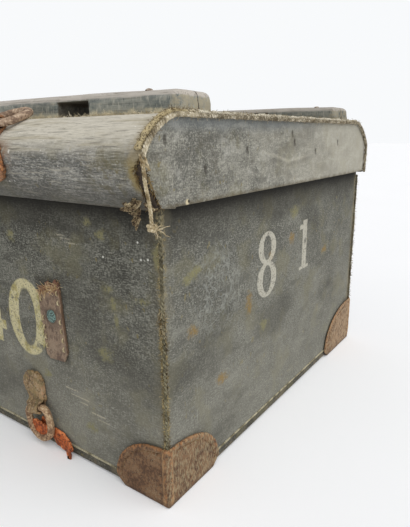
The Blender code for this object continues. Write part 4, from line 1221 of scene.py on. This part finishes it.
def corner_cap(depth, side, fine):
    node = f"corner_cap_{depth}_{side}"
    low, high = box(node)
    size = high - low
    out_x, out_y = math.copysign(1, low.x), math.copysign(1, low.y)
    edge_x, edge_y = max(abs(low.x), abs(high.x)), max(abs(low.y), abs(high.y))

    def from_corner(point):
        return edge_x - abs(point.x), edge_y - abs(point.y)

    def share(point):
        """0 at the corner on the floor, 1 at the rim of the lobe that the point is on."""
        in_x, in_y = from_corner(point)
        along = in_x / size.x if in_y < in_x else in_y / size.y
        return (max(along, 0) ** CAP_POWER + max(point.z / size.z, 0) ** CAP_POWER) ** (1 / CAP_POWER)

    def wear(point, normal):
        in_x, in_y = from_corner(point)
        if point.z < 0.002 or min(in_x, in_y) > 0.0018:
            return 0.0
        off = max(in_x, in_y)
        fold = 0.0010 * bump(off, 0.0042, 0.0022) - 0.0007 * bump(off, 0.0088, 0.0016)
        sewn = -0.0008 * bump(share(point), CAP_GROOVE, 0.022) + 0.0003 * bump(share(point), 0.965, 0.03)
        worn = 0.0004 * cloud(point, 0.012, 3) + 0.00025 * cloud(point, 0.004, 5)
        return fold * smooth(point.z, 0.004, 0.016) + sewn * smooth(off, 0.006, 0.012) + worn

    cap = clay_copy(node, fine)
    press(cap, wear)
    for point in cap.data.vertices:
        in_x, in_y = from_corner(point.co)
        drawn_in = 0.011 * smooth(0.016 - point.co.z, 0.0, 0.016) ** 2
        if in_y < in_x:
            point.co.x += out_x * drawn_in * smooth(in_x / size.x, 0.70, 1.0)
        else:
            point.co.y += out_y * drawn_in * smooth(in_y / size.y, 0.70, 1.0)
        point.co.z = max(point.co.z, 0.0002)
    mark_edge(cap, lambda p: max(
        smooth(share(p), 0.90, 0.99), 0.9 * bump(max(from_corner(p)), 0.0042, 0.003)))
    place(cap, node.replace("corner_cap", "cap_hide"), cap_leather, "trunk", "cap_leather", node)
    seams = []
    for lobe in ("front", "end"):
        line = []
        for i in range(2, 24):
            turn = math.pi / 2 * i / 25
            along, up = math.sin(turn) ** (2 / CAP_POWER), math.cos(turn) ** (2 / CAP_POWER)
            x = edge_x - (CAP_GROOVE * along * size.x if lobe == "front" else 0.0006)
            y = edge_y - (CAP_GROOVE * along * size.y if lobe == "end" else 0.0006)
            normal = Vector((0, out_y, 0)) if lobe == "front" else Vector((out_x, 0, 0))
            line.append((Vector((out_x * x, out_y * y, CAP_GROOVE * up * size.z)), normal))
        seams.append(stitches(f"{node}_{lobe}_thread", line, 0.0042, 0.00042, seed=len(line)))
    place(join(*seams), node + "_thread", cap_thread, "trunk", "cap_leather")


for depth in ("front", "back"):
    for side in ("right", "left"):
        corner_cap(depth, side, 0.0009 if (depth, side) == ("front", "right") else 0.0014)

# %% [markdown]
# The straps were harness leather, now dry and purplish. The finish is dark round the rivets and along the
# cut sides, where the dark is partly the cut edge's own brown and partly painted shade, and reddish at the
# torn end. Its sewing and its torn fibres are pale twine.

# %% Strap finish
def strap_finish():
    hide, height = leather(
        "strap_leather", (100, 82, 70), (140, 119, 99), (168, 136, 102), (166, 154, 134), 110)
    for side in (1, -1):
        hide.lay((58, 50, 44), hide.near((side * 0.2557, -0.2390, 0.1579), 0.0125) * 0.8)
    torn_end = (hide.z + hide.grain(0.006, 4, 116) * 0.014).ease(0.186, 0.196)
    hide.lay((132, 88, 68), torn_end * 0.6)
    # The cut sides are laid darker: partly the cut edge's own brown, partly painted shade on the side faces.
    hide.lay((82, 62, 50), hide.rim().ease(0.70, 1.0) * 0.75)
    return hide.paint(height, 0.0007)


strap_leather = strap_finish()
tab_sewing = twine("tab_sewing", (150, 134, 100), (190, 176, 140), (220, 208, 176), 118)
fibre_finish = twine("leather_fibre", (156, 118, 86), (204, 178, 134), (236, 222, 184), 117)
print(strap_leather.name, tab_sewing.name, fibre_finish.name)

# %% [markdown]
# The strap tab was cut from harness leather and torn through above its rivet. Long pale stitches run down
# both edges. The torn end is a brush of fibres, and a row of broken threads hangs across it. The left one
# is the same piece.

# %% Strap tabs
TAB_FOOT = (0.259, 0.110)
TAB_LEAN = math.radians(4)
TAB_FACE = -0.2388


def tab_place(side, across, up, off=0.0):
    """A point on a tab: across and up in its own leaning frame, off in front of the leather."""
    x = TAB_FOOT[0] + across * math.cos(TAB_LEAN) - up * math.sin(TAB_LEAN)
    z = TAB_FOOT[1] + across * math.sin(TAB_LEAN) + up * math.cos(TAB_LEAN)
    return Vector((side * x, TAB_FACE - off, z))


def tab_across(side, point):
    x, z = side * point.x - TAB_FOOT[0], point.z - TAB_FOOT[1]
    return x * math.cos(TAB_LEAN) + z * math.sin(TAB_LEAN)


def strap_tab(name, side):
    tab = clay_copy("strap_tab_" + name, 0.0007, 2)

    def wear(point, normal):
        if normal.y > -0.4:
            return 0.0002 * cloud(point, 0.003, 7)
        off = abs(tab_across(side, point))
        sewn = -0.0005 * bump(off, 0.0132, 0.0011) + 0.0003 * bump(off, 0.0158, 0.0010)
        creases = -0.0006 * smooth(cloud(point, (0.016, 0.02, 0.0035), 4), 0.30, 0.55)
        worn = 0.0003 * cloud(point, 0.006, 9) + 0.0004 * smooth(abs(point.z - 0.158), 0.014, 0.004)
        return sewn + creases + worn

    press(tab, wear)
    for point in tab.data.vertices:
        rise = 0.30 * max(0.0, point.co.z - TAB_FOOT[1] - 0.052)
        ragged = smooth(point.co.z - TAB_FOOT[1], 0.066, 0.074)
        rise += 0.0030 * cloud((tab_across(side, point.co), 0, 0), 0.0013, 5) * ragged
        point.co += Vector((-side * math.sin(TAB_LEAN), 0, math.cos(TAB_LEAN))) * rise
    mark_edge(tab, lambda p: smooth(abs(tab_across(side, p)), 0.0145, 0.0168))
    place(tab, "tab_hide_" + name, strap_leather, "trunk", "strap_leather", "strap_tab_" + name)
    sewing = []
    for across, top in ((-0.0133, 0.070), (0.0133, 0.078)):
        ups = [0.009 + (top - 0.009) * i / 20 for i in range(21)]
        line = [(tab_place(side, across, up, 0.0006), Vector((0, -1, 0))) for up in ups]
        sewing.append(stitches(
            f"tab_thread_{across}", line, 0.0095, 0.00075, fill=0.52, lift=0.9, skip=0.1, seed=5))
    roots = []
    dice = random.Random(17)
    for _ in range(150):
        across = dice.uniform(-0.0165, 0.0165)
        up = 0.072 + 0.008 * (across + 0.017) / 0.034 + dice.uniform(-0.003, 0.003)
        roots.append((tab_place(side, across, up, dice.uniform(-0.0015, 0.0003)), Vector((0, -0.25, 0.6))))
    fibres = fray("tab_fibres", roots, 0.0070, 0.00030, 18, droop=0.10)
    across_roots = [
        (tab_place(side, -0.016 + 0.0016 * i, 0.0705 + 0.0004 * i, 0.0006), Vector((side, -0.2, 0.1)))
        for i in range(20)
    ]
    threads = fray("tab_threads", across_roots, 0.009, 0.0004, 19, droop=0.05)
    place(join(fibres, threads), "tab_fibres_" + name, fibre_finish, "trunk", "strap_leather")
    place(join(*sewing), "tab_thread_" + name, tab_sewing, "trunk", "strap_leather")


strap_tab("right", 1)
strap_tab("left", -1)

# %% [markdown]
# The rivets are copper, gone green. A cylinder would look machined, so the domed head is a ball pressed
# flat and then hammered with noise. The finish breaks the green with dark pits and a few bright rubs.

# %% Rivets
def rivet_finish():
    metal = Finish("verdigris", roughness=0.75, specular=0.4)
    crust = metal.grain(0.0016, 4, 121)
    pits = metal.grain(0.0008, 3, 122)
    metal.lay((66, 84, 80))
    metal.lay((116, 146, 138), crust.ease(0.42, 0.6))
    metal.lay((60, 48, 36), pits.ease(0.46, 0.34) * 0.9)
    metal.lay((150, 160, 140), pits.ease(0.6, 0.7) * 0.6)
    return metal.paint(crust * 0.6 + pits * 0.4, 0.0006)


RIVET_SPREAD, RIVET_RISE = 1.30, 0.0026
verdigris = rivet_finish()
for name in ("right", "left"):
    low, high = box("tab_rivet_" + name)
    middle = (low + high) / 2
    half = (high - low) / 2 * RIVET_SPREAD
    rivet = add(
        bpy.ops.mesh.primitive_uv_sphere_add, (half.x, RIVET_RISE, half.z), segments=40, ring_count=24,
        radius=1, location=(middle.x, high.y - RIVET_RISE, middle.z))
    press(rivet, lambda point, normal: 0.00035 * cloud(point, 0.0025, 2) if normal.y < 0.2 else 0.0)
    place(rivet, "rivet_head_" + name, verdigris, "trunk", "copper", "tab_rivet_" + name)

# %% [markdown]
# A chape is a strip folded round the ring's bar and sewn down flat. The frame already folds it, so its copy
# only needs its rim rubbed, its surface cracked across the fold and its flaps drawn wider, as wet leather
# spreads. The lid's pair is redder, because rust from its rings has run into it.

# %% Chapes
CHAPE_AXIS, CHAPE_LEAN = (0.220, 0.045), math.radians(14)


def chape_finish(name, deep, mid, rubbed, dust, moss, seed):
    hide, height = leather(name, deep, mid, rubbed, dust, seed, drawn=(1, 1, 1.2))
    crust = hide.grain(0.0022, 4, seed + 8).ease(0.55, 0.64)
    hide.lay(dust, crust * 0.5)
    mossy = hide.grain(0.010, 5, seed + 6).ease(0.48, 0.62)
    hide.lay(moss, mossy * 0.55)
    return hide.paint(height, 0.0009)


def chape(node, fine, finish):
    low, high = box(node)
    middle = (low.x + high.x) / 2
    strip = clay_copy(node, fine, 2)

    def wear(point, normal):
        cracks = -0.0005 * smooth(cloud(point, (0.02, 0.003, 0.003), 6), 0.25, 0.5)
        return cracks + 0.00035 * cloud(point, 0.006, 2) + 0.0002 * cloud(point, 0.002, 4)

    press(strip, wear)
    if node.startswith("lid"):
        body, half = "lid", 0.0260
        for point in strip.data.vertices:
            point.co.x += (point.co.x - middle) * 0.53 * smooth(0.342 - point.co.z, 0.0, 0.020)
    else:
        body, half = "trunk", 0.0168
        side = math.copysign(1, middle)
        for point in strip.data.vertices:
            x, z = side * point.co.x - CHAPE_AXIS[0], point.co.z - CHAPE_AXIS[1]
            up = z * math.cos(CHAPE_LEAN) - x * math.sin(CHAPE_LEAN)
            aside = x * math.cos(CHAPE_LEAN) + z * math.sin(CHAPE_LEAN)
            spread = aside * 0.60 * smooth(up, 0.002, 0.008) * smooth(0.024 - up, 0.0, 0.018)
            point.co.x += side * spread * math.cos(CHAPE_LEAN)
            point.co.z += spread * math.sin(CHAPE_LEAN)
    mark_edge(strip, lambda p: smooth(abs(p.x - middle) + 0.0012 * cloud(p, 0.006, 8), half - 0.0045, half))
    place(strip, node.replace("chape", "chape_hide"), finish, body, "strap_leather", node)


body_chape_leather = chape_finish(
    "body_chape_leather", (100, 80, 57), (158, 131, 93), (184, 142, 108), (182, 164, 138),
    (118, 106, 70), 140)
lid_chape_leather = chape_finish(
    "lid_chape_leather", (92, 58, 40), (156, 108, 72), (196, 130, 80), (176, 154, 124),
    (120, 84, 58), 150)
for name in ("right", "left"):
    chape("ring_chape_" + name, 0.0008, body_chape_leather)
    chape("lid_chape_" + name, 0.0009, lid_chape_leather)

# %% [markdown]
# The rings are forged wire, scaled with rust. A remeshed copy of the frame's ring is pressed with two sizes
# of noise, large for the hammered unevenness and small for the scale. The finish runs from dark iron
# through brown to a pale crust. Rust hardly shines, so it is painted as a rough surface and not as bare
# metal.

# %% Rings
def rust_finish(name, dark, brown, crust, seed):
    iron = Finish(name, roughness=0.85, specular=0.3)
    broad = iron.grain(0.009, 4, seed)
    scale = iron.grain(0.0022, 5, seed + 2)
    iron.lay(dark)
    iron.lay(brown, (broad * 0.5 + scale * 0.5).ease(0.40, 0.56))
    iron.lay(crust, (scale * 0.7 + broad * 0.3).ease(0.53, 0.66) * 0.85)
    iron.lay((40, 32, 27), scale.ease(0.40, 0.32) * 0.45)
    return iron.paint(scale, 0.0010)


ring_rust = rust_finish("ring_rust", (118, 92, 70), (176, 144, 112), (214, 196, 160), 160)
lid_ring_rust = rust_finish("lid_ring_rust", (128, 106, 89), (172, 147, 124), (208, 189, 164), 166)
for node in ("body_ring_right", "body_ring_left", "lid_ring_right", "lid_ring_left"):
    forged = clay_copy(node, 0.0007, 2)
    press(forged, lambda point, normal: 0.00040 * cloud(point, 0.007, 1) + 0.00022 * cloud(point, 0.0022, 3))
    finish = lid_ring_rust if node.startswith("lid") else ring_rust
    place(forged, node.replace("ring", "ring_iron"), finish, node, "iron", node)

# %% [markdown]
# A torn scrap of orange strap is still caught in the near ring. It widens towards its ragged end, and it is
# crumpled and split. The copy is stretched across its own line there, and every point is kept off the
# canvas and the floor. Its other end fills the lower half of the ring's eye: a grid drawn out to the round
# of the ring and crumpled.

# %% Strap remnant
def remnant_finish():
    hide, height = leather(
        "remnant_leather", (112, 52, 28), (190, 98, 50), (226, 138, 84), (204, 140, 92), 170)
    split = hide.grain(0.0018, 3, 177, stretch=(6, 1, 1), turn=(0, 0.55, 0))
    hide.lay((52, 26, 18), split.ease(0.60, 0.68) * 0.9)
    return hide.paint(height, 0.0010)


remnant = clay_copy("strap_remnant", 0.00055, 1)
low, high = box("strap_remnant")
start = Vector((low.x, high.y, high.z - 0.006))
end = Vector((high.x, low.y, low.z + 0.004))
along = (end - start).normalized()
across = along.cross(Vector((0, 1, 0))).normalized()
for point in remnant.data.vertices:
    run = (point.co - start).dot(along) / (end - start).length
    off = (point.co - start).dot(across)
    ragged = 0.0035 * cloud((off, 0, 0), 0.0022, 3) * smooth(run, 0.85, 1.0)
    point.co += across * off * 0.80 * smooth(run, 0.30, 0.60) + along * ragged
    crumple = 0.0020 * cloud(point.co, (0.010, 0.02, 0.005), 5) + 0.0010 * cloud(point.co, 0.004, 9)
    point.co.y += crumple * smooth(run, 0.3, 0.6)
    point.co.y = min(point.co.y, high.y)
    point.co.z = max(point.co.z, 0.0006)
mark_edge(remnant, lambda p: smooth(abs((p - start).dot(across)), 0.004, 0.008))
remnant_leather = remnant_finish()
place(remnant, "remnant_hide", remnant_leather, "body_ring_right", "remnant_leather", "strap_remnant")

EYE_MIDDLE, EYE_HALF = Vector((0.2247, -0.2434, 0.0261)), 0.0142
tongue = add(bpy.ops.mesh.primitive_grid_add, x_subdivisions=30, y_subdivisions=20, size=2)
for point in tongue.data.vertices:
    across, down = point.co.x, (1 - point.co.y) / 2
    top = 0.0020 + 0.0022 * cloud((across, 0, 0), 0.4, 3)
    z = top - (top + 0.0133) * down
    x = across * math.sqrt(EYE_HALF ** 2 - z * z)
    crumple = 0.0011 * cloud((x, z, 0), (0.006, 0.003, 1), 5) + 0.0005 * cloud((x, z, 0), 0.002, 7)
    point.co = EYE_MIDDLE + Vector((x, crumple, z))
modify(tongue, "SOLIDIFY", thickness=0.0016, offset=0)
mark_edge(tongue, lambda p: smooth(p.z - EYE_MIDDLE.z, -0.002, 0.003))
place(tongue, "remnant_tongue", remnant_leather, "body_ring_right", "remnant_leather")

# %% [markdown]
# The battens' paint is grey and chipped. Long thin noise is the fibre of the wood under it, and pale wood
# shows on the top, at the ends and wherever the mask named edge says that an arris is knocked back. Dust
# lies along the foot, and the notches in the foot are laid dark as painted shade.

# %% Batten finish
def batten_finish():
    wood = Finish("batten_wood", roughness=0.88, specular=0.2)
    fibre = wood.grain(0.0013, 4, 180, stretch=(40, 1, 1))
    patch = wood.grain(0.022, 5, 181, stretch=(2.2, 1, 1))
    chips = wood.grain(0.0050, 7, 182, stretch=(1.8, 1, 1), rough=0.62)
    edge = wood.rim()
    wood.lay((108, 114, 111))
    wood.lay((152, 153, 144), (patch * 0.5 + chips * 0.5).ease(0.38, 0.56))
    wood.lay((164, 158, 142), chips.ease(0.56, 0.68) * 0.6)
    wood.lay((70, 68, 60), fibre.ease(0.45, 0.33) * 0.35)
    scratch = wood.grain(0.0013, 4, 184, stretch=(1, 1, 6), turn=(0, 0.2, 0))
    wood.lay((186, 183, 170), scratch.ease(0.55, 0.68) * 0.6)
    wood.lay((58, 55, 49), (scratch * 0.5 + chips * 0.5).ease(0.42, 0.34) * 0.6)
    foot = (wood.z + chips * 0.016).ease(0.3640, 0.3585)
    wood.lay((220, 210, 182), foot * 0.8)
    end = (wood.x.size() + patch * 0.01).ease(0.388, 0.396)
    wood.lay((164, 154, 130), end * chips.ease(0.36, 0.54) * 0.75)
    top = (wood.z + patch * 0.004 + fibre * 0.002).ease(0.3672, 0.3690)
    wood.lay((192, 184, 174), (top | edge * chips.ease(0.32, 0.48)) * 0.88)
    wood.lay((120, 112, 100), top * fibre.ease(0.46, 0.36) * 0.6)
    wood.lay((92, 88, 78), wood.y.ease(-0.05, 0.05) * 0.22)
    crack = (wood.y.size() - 0.1725 + (chips - 0.5) * 0.006).size().ease(0.0011, 0.0004)
    wood.lay((52, 44, 36), crack * wood.x.size().ease(0.383, 0.386) * 0.9)
    # Painted shade: the notches cut in the batten's foot are laid dark.
    notch_shade = (wood.x.size() - 0.2670).size().ease(0.0226, 0.0216) * wood.z.ease(0.3652, 0.3640)
    wood.lay((64, 52, 40), notch_shade * 0.8)
    return wood.paint(fibre * 0.6 + chips * 0.4, 0.0008)


batten_wood = batten_finish()
print(batten_wood.name, len(batten_wood.node_tree.nodes), "nodes")

# %% [markdown]
# Each batten is held by four nails with domed heads, painted over. A nail is a ball pressed flat and
# roughened on top, and the next step sets them. Straw and lint have caught along the foot of the front
# batten, so a fray of short pale fibres is laid there first.

# %% Nails and lint
nail_finish = rust_finish("painted_nail", (128, 112, 98), (176, 160, 146), (200, 190, 178), 188)
lint_finish = twine("pale_lint", (178, 165, 134), (216, 205, 178), (236, 228, 208), 252)


def nail(name, x, y, z):
    sizes = {"segments": 16, "ring_count": 10, "radius": 0.0034}
    head = add(bpy.ops.mesh.primitive_uv_sphere_add, (1, 1, 0.45), location=(x, y, z), **sizes)
    press(head, lambda point, normal: 0.0003 * cloud(point, 0.0022, 5) if normal.z > 0 else 0.0)
    place(head, name, nail_finish, "lid", "iron")


LINT_FACE, LINT_HEIGHT = -0.2024, 0.3503


def foot_dirt(node):
    """Straw and lint caught where the batten meets the canvas."""
    dice = random.Random(250)
    roots = []
    for _ in range(900):
        x = dice.uniform(-0.39, 0.39) if dice.random() < 0.5 else dice.gauss(0.335, 0.035)
        heading = Vector((dice.uniform(-1, 1), -0.5, 0.5))
        roots.append((Vector((min(0.392, x), LINT_FACE, LINT_HEIGHT)), heading))
    lint = fray(node + "_lint", roots, 0.0050, 0.00030, 251, droop=0.15)
    place(lint, node + "_lint", lint_finish, "lid", "cord")


foot_dirt("front_batten")

# %% [markdown]
# The battens were planed square and painted, and then dragged over stone for years. A remeshed copy lets
# the arrises be knocked back with noise, while long thin noise raises the grain. Both ends are worn off at
# a slant. The mask named edge is 1 where the wood is knocked back, so that pale wood shows through the
# paint there.

# %% Battens
def batten(node):
    low, high = box(node)
    bar = clay_copy(node, 0.0016)
    middle = (low.y + high.y) / 2

    def arris(point):
        """How near a point is to one of the long upper edges: 1 on it."""
        up = high.z - point.z
        aside = (high.y - low.y) / 2 - abs(point.y - middle)
        return smooth(0.0080 - math.hypot(max(up, 0), max(aside, 0)), 0.0, 0.0065)

    def wear(point, normal):
        knocks = 0.0010 + 0.0011 * cloud(point, (0.02, 0.01, 0.01), 3) + 0.0006 * cloud(point, 0.005, 5)
        grain = 0.00018 * cloud(point, (0.08, 0.0028, 0.0028), 7)
        waves = 0.0003 * cloud(point, (0.09, 0.02, 0.02), 9)
        return grain + waves - arris(point) * knocks

    press(bar, wear)
    for point in bar.data.vertices:
        end = smooth(abs(point.co.x), 0.380, 0.394)
        rise = (point.co.z - low.z) / (high.z - low.z)
        slant = 0.0030 * rise + 0.0012 * cloud(point.co, 0.008, 11)
        point.co.x -= math.copysign(1, point.co.x) * slant * end
        point.co.z -= 0.0012 * rise * smooth(abs(point.co.x), 0.30, 0.39)
    mark_edge(bar, arris)
    place(bar, node + "_wood", batten_wood, "lid", "batten", node)


NAILS = {"front_batten": (-0.357, -0.12, 0.12, 0.357), "back_batten": (-0.36, -0.14, 0.14, 0.362)}
for node, nails in NAILS.items():
    batten(node)
    low, high = box(node)
    for i, x in enumerate(nails):
        worn_down = 0.0012 * smooth(abs(x), 0.30, 0.39)
        nail(f"{node}_nail_{i}", x, low.y + 0.008 + 0.030 * ((i + 1) % 2), high.z - worn_down)

# %% [markdown]
# The wood inside is bare. The boards keep the frame's solids and only get a finish: pale pine with long
# grain, and a darker, dirtier one for the lid's frame, which shows where the corner is torn.

# %% Boards
def board_finish(name, pale, dark, stretch, seed):
    wood = Finish(name, roughness=0.8, specular=0.25)
    rings = wood.grain(0.006, 4, seed, stretch=stretch)
    fibre = wood.grain(0.0012, 3, seed + 2, stretch=stretch)
    dirt = wood.grain(0.14, 8, seed + 4, rough=0.6)
    wood.lay(pale)
    wood.lay(dark, (rings * 0.65 + fibre * 0.35).ease(0.40, 0.68))
    wood.lay((92, 80, 64), dirt.ease(0.48, 0.72) * 0.5)
    return wood.paint(fibre, 0.0004)


def dress(finish, *nodes):
    """Give frame solids that stay in view a finish."""
    for node in nodes:
        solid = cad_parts[node].data
        solid.materials.clear()
        solid.materials.append(finish)


pine_long = board_finish("pine_long", (176, 150, 112), (132, 104, 72), (30, 1, 1), 190)
pine_deep = board_finish("pine_deep", (176, 150, 112), (132, 104, 72), (1, 30, 1), 194)
old_long = board_finish("old_wood_long", (80, 69, 60), (48, 42, 38), (24, 1, 1), 198)
old_deep = board_finish("old_wood_deep", (80, 69, 60), (48, 42, 38), (1, 24, 1), 202)
dress(pine_long, "bottom_board", "front_board", "back_board", "lid_top_board")
dress(pine_deep, "left_end_board", "right_end_board")
dress(old_long, "lid_front_rail", "lid_back_rail")
dress(old_deep, "lid_end_board_left", "lid_end_board_right")
print("boards in", [finish.name for finish in (pine_long, pine_deep, old_long, old_deep)])

# %% [markdown]
# The hinges are plain strap iron with a pin. They are hard and straight, so the frame's own solids show, in
# the rust of the rings but darker. Each leaf gets four screw heads, short discs with a raised face. One is
# modelled, and the others are copies of it, each with its own mesh.

# %% Hinges
hinge_iron = rust_finish("hinge_iron", (58, 50, 44), (92, 78, 66), (128, 108, 88), 210)
LEAVES = [("hinge_body_leaf_", "trunk", (0.236, 0.254)), ("hinge_lid_leaf_", "lid", (0.284, 0.300))]
HINGE_HEIGHT, KNUCKLE = 0.27, 0.025
pattern = add(
    bpy.ops.mesh.primitive_cylinder_add, vertices=20, radius=0.0036, depth=0.0010,
    rotation=(math.pi / 2, 0, 0))
edit(pattern, "FACE", lambda middle, normal: normal.y > 0.9)
bpy.ops.mesh.inset(thickness=0.0007)
bpy.ops.transform.translate(value=(0, 0.0005, 0))
done()
for name in ("left", "right"):
    dress(hinge_iron, "hinge_body_leaf_" + name, "hinge_lid_leaf_" + name, "hinge_pin_" + name)
    for leaf, body, heights in LEAVES:
        low, high = box(leaf + name)
        points = [vertex.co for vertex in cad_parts[leaf + name].data.vertices]
        flat = max(point.y for point in points if abs(point.z - HINGE_HEIGHT) > KNUCKLE) - SHIFT.y
        for i, x in enumerate((low.x + 0.011, high.x - 0.011)):
            for k, z in enumerate(heights):
                only(pattern)
                bpy.ops.object.duplicate()
                screw = bpy.context.object
                screw.location = (x, flat + 0.0004, z)
                place(screw, f"{leaf}{name}_screw_{i}{k}", hinge_iron, body, "iron")
bpy.data.objects.remove(pattern)

# %% [markdown]
# Beside the rope the lid's canvas is turned under and stands up as a lumpy hem. It is a soft tube along the
# panel's outline, pressed with noise and covered with fluff, and it stops where the corner is torn.

# %% Hem
HEM_X, HEM_OUT, HEM_WIDE = 0.4045, 0.0026, 0.0025
HEM_BREAK = 0.321


def turned_hem_finish():
    cloth = Finish("turned_hem", roughness=0.95, specular=0.15)
    blots = cloth.grain(0.0050, 5, 224)
    grit = cloth.grain(0.0012, 4, 226)
    front = cloth.y.ease(-0.185, -0.215)
    pale = cloth.blend((208, 200, 180), (186, 170, 132), front)
    cloth.lay((126, 114, 90))
    cloth.lay(pale, (blots * 0.5 + grit * 0.5).ease(0.38, 0.54))
    cloth.lay((64, 52, 38), grit.ease(0.46, 0.36) * 0.7)
    return cloth.paint(grit * 0.5 + blots * 0.5, 0.0014)


hem_finish = turned_hem_finish()
torn_twine = twine("torn_twine", (78, 62, 42), (128, 106, 70), (176, 158, 116), 245)


def hem(side, seed, broken):
    line = beside(side * HEM_X, HEM_OUT)
    if broken:
        line = [p for p in line if p.y > 0 or p.z > HEM_BREAK]
    path = even(line, 0.0016)
    run = [(*p, 1 + 0.30 * cloud(p, 0.012, seed) + 0.22 * cloud(p, 0.004, seed + 2)) for p in path]
    roll = wires("hem", [run], HEM_WIDE, sides=4)
    press(roll, lambda point, normal: 0.0007 * cloud(point, 0.0030, seed + 4))
    name = "right" if side > 0 else "left"
    place(roll, "lid_hem_" + name, hem_finish, "lid", "lid_canvas")
    dice = random.Random(seed)
    roots = []
    for p in path:
        thick = 5 if p.y < -0.19 else 1
        heading = Vector((side * dice.uniform(-0.4, 1), dice.uniform(-1, 1), 1))
        roots += [(p + Vector((0, 0, 0.001)), heading)] * thick
    fluff = fray("hem_fluff", roots, 0.0045, 0.00022, seed + 6, droop=0.2)
    place(fluff, "hem_fluff_" + name, torn_twine, "lid", "cord")


hem(1, 230, True)
hem(-1, 231, False)

# %% [markdown]
# At the torn corner the broken edges have let go: rags of cloth curled under the lid, a fringe of dry
# fibres and two short ends of rope. A cloth simulation would smooth such small scraps, so each rag is a
# grid that is bent, narrowed and twisted as it falls.

# %% Torn corner
def rag(corner, wide, tall, curl, turn, twist, seed):
    """A strip of torn cloth that hangs from one point, bends outwards by curl and is twisted as it falls."""
    scrap = add(bpy.ops.mesh.primitive_grid_add, x_subdivisions=14, y_subdivisions=24, size=1)
    for point in scrap.data.vertices:
        across, down = point.co.x, 0.5 - point.co.y
        length = tall * down * (1 + 0.45 * cloud((across, seed, 0), 0.22, seed))
        narrow = 1 - 0.35 * down + 0.40 * cloud((down, seed, 0), 0.22, seed + 3)
        bend = max(0.05, curl * down)
        reach = length * (1 - math.cos(bend)) / bend
        fold = 0.0007 * math.sin(across * 6 + seed) + 0.0006 * cloud((across, down, 0), 0.35, seed + 5)
        flat = Vector((wide * across * narrow, -reach - fold - 0.0016, -length * math.sin(bend) / bend))
        point.co = Vector(corner) + Matrix.Rotation(turn + twist * down, 3, "Z") @ flat
    modify(scrap, "SOLIDIFY", thickness=0.0009, offset=0)
    return scrap


def torn_finish():
    cloth = Finish("torn_cloth", roughness=0.95, specular=0.15)
    blots = cloth.grain(0.0040, 5, 220)
    grit = cloth.grain(0.0011, 4, 222)
    cloth.lay((54, 44, 38))
    cloth.lay((134, 116, 88), (blots * 0.6 + grit * 0.4).ease(0.40, 0.54))
    cloth.lay((206, 192, 158), (grit * 0.5 + blots * 0.5).ease(0.52, 0.62) * 0.85)
    return cloth.paint(grit * 0.5 + blots * 0.5, 0.0014)


rag_finish = torn_finish()
RAGS = [
    ((0.3900, -0.2490, 0.2795), 0.0090, 0.0160, 1.1, -0.1, 0.6, 1),
    ((0.3878, -0.2488, 0.2865), 0.0085, 0.0125, 2.5, -0.6, 0.5, 2),
    ((0.3905, -0.2498, 0.2850), 0.0075, 0.0150, 2.2, 0.2, -0.8, 3),
    ((0.3990, -0.2490, 0.2838), 0.0058, 0.0100, 1.9, 0.9, 0.7, 4),
    ((0.3865, -0.2492, 0.2790), 0.0060, 0.0095, 2.4, -0.2, 1.0, 5),
]
torn_rags = place(join(*(rag(*row) for row in RAGS)), "torn_rags", rag_finish, "lid", "lid_canvas")
PANEL_FOOT = 0.2779
torn_roots = []
dice = random.Random(240)
for _ in range(110):
    z = dice.uniform(0.277, 0.318)
    front = edges(end_line, max(z, PANEL_FOOT))[0]
    root = Vector((lid_high.x - torn(z), front - 0.0012, z))
    torn_roots.append((root, Vector((0.6, -0.5, dice.uniform(-0.8, 0.3)))))
for _ in range(90):
    z = dice.uniform(0.2785, 0.312)
    root = Vector((0.4072, edges(end_line, z)[0] + 0.25 * torn(z + 0.003), z))
    torn_roots.append((root, Vector((0.4, -0.9, dice.uniform(-0.7, 0.2)))))
torn_fringe = fray("torn_fringe", torn_roots, 0.0046, 0.00026, 241, droop=0.14)
place(torn_fringe, "torn_fringe", torn_twine, "lid", "cord")
STUBS = [("stub_front", (0.4088, -0.2652, 0.3200), 0.015), ("stub_side", (0.4100, -0.2618, 0.3185), 0.010)]
for name, top, drop in STUBS:
    ends = [Vector(top) + Vector((0.0006 * i, 0.0004 * i, -drop * i / 4)) for i in range(5)]
    stub = rope(name, ends, 0.0015, 0.008, Vector((1, 0, 0)), strands=2, slack=0.4, seed=7)
    place(stub, name, loose_twine, "lid", "cord")

# %% [markdown] Last come two boxes: the frame's own, kept from the start, and the dressed trunk's.

# %% Size lines
visual_box = [list(corner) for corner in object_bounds()]
(cad_low, cad_high), (low, high) = CAD_BOX, visual_box
past = [max(cad_low[i] - low[i], high[i] - cad_high[i]) for i in range(3)]
print("past the frame's box by", [round(reach * 1000, 1) for reach in past], "mm")
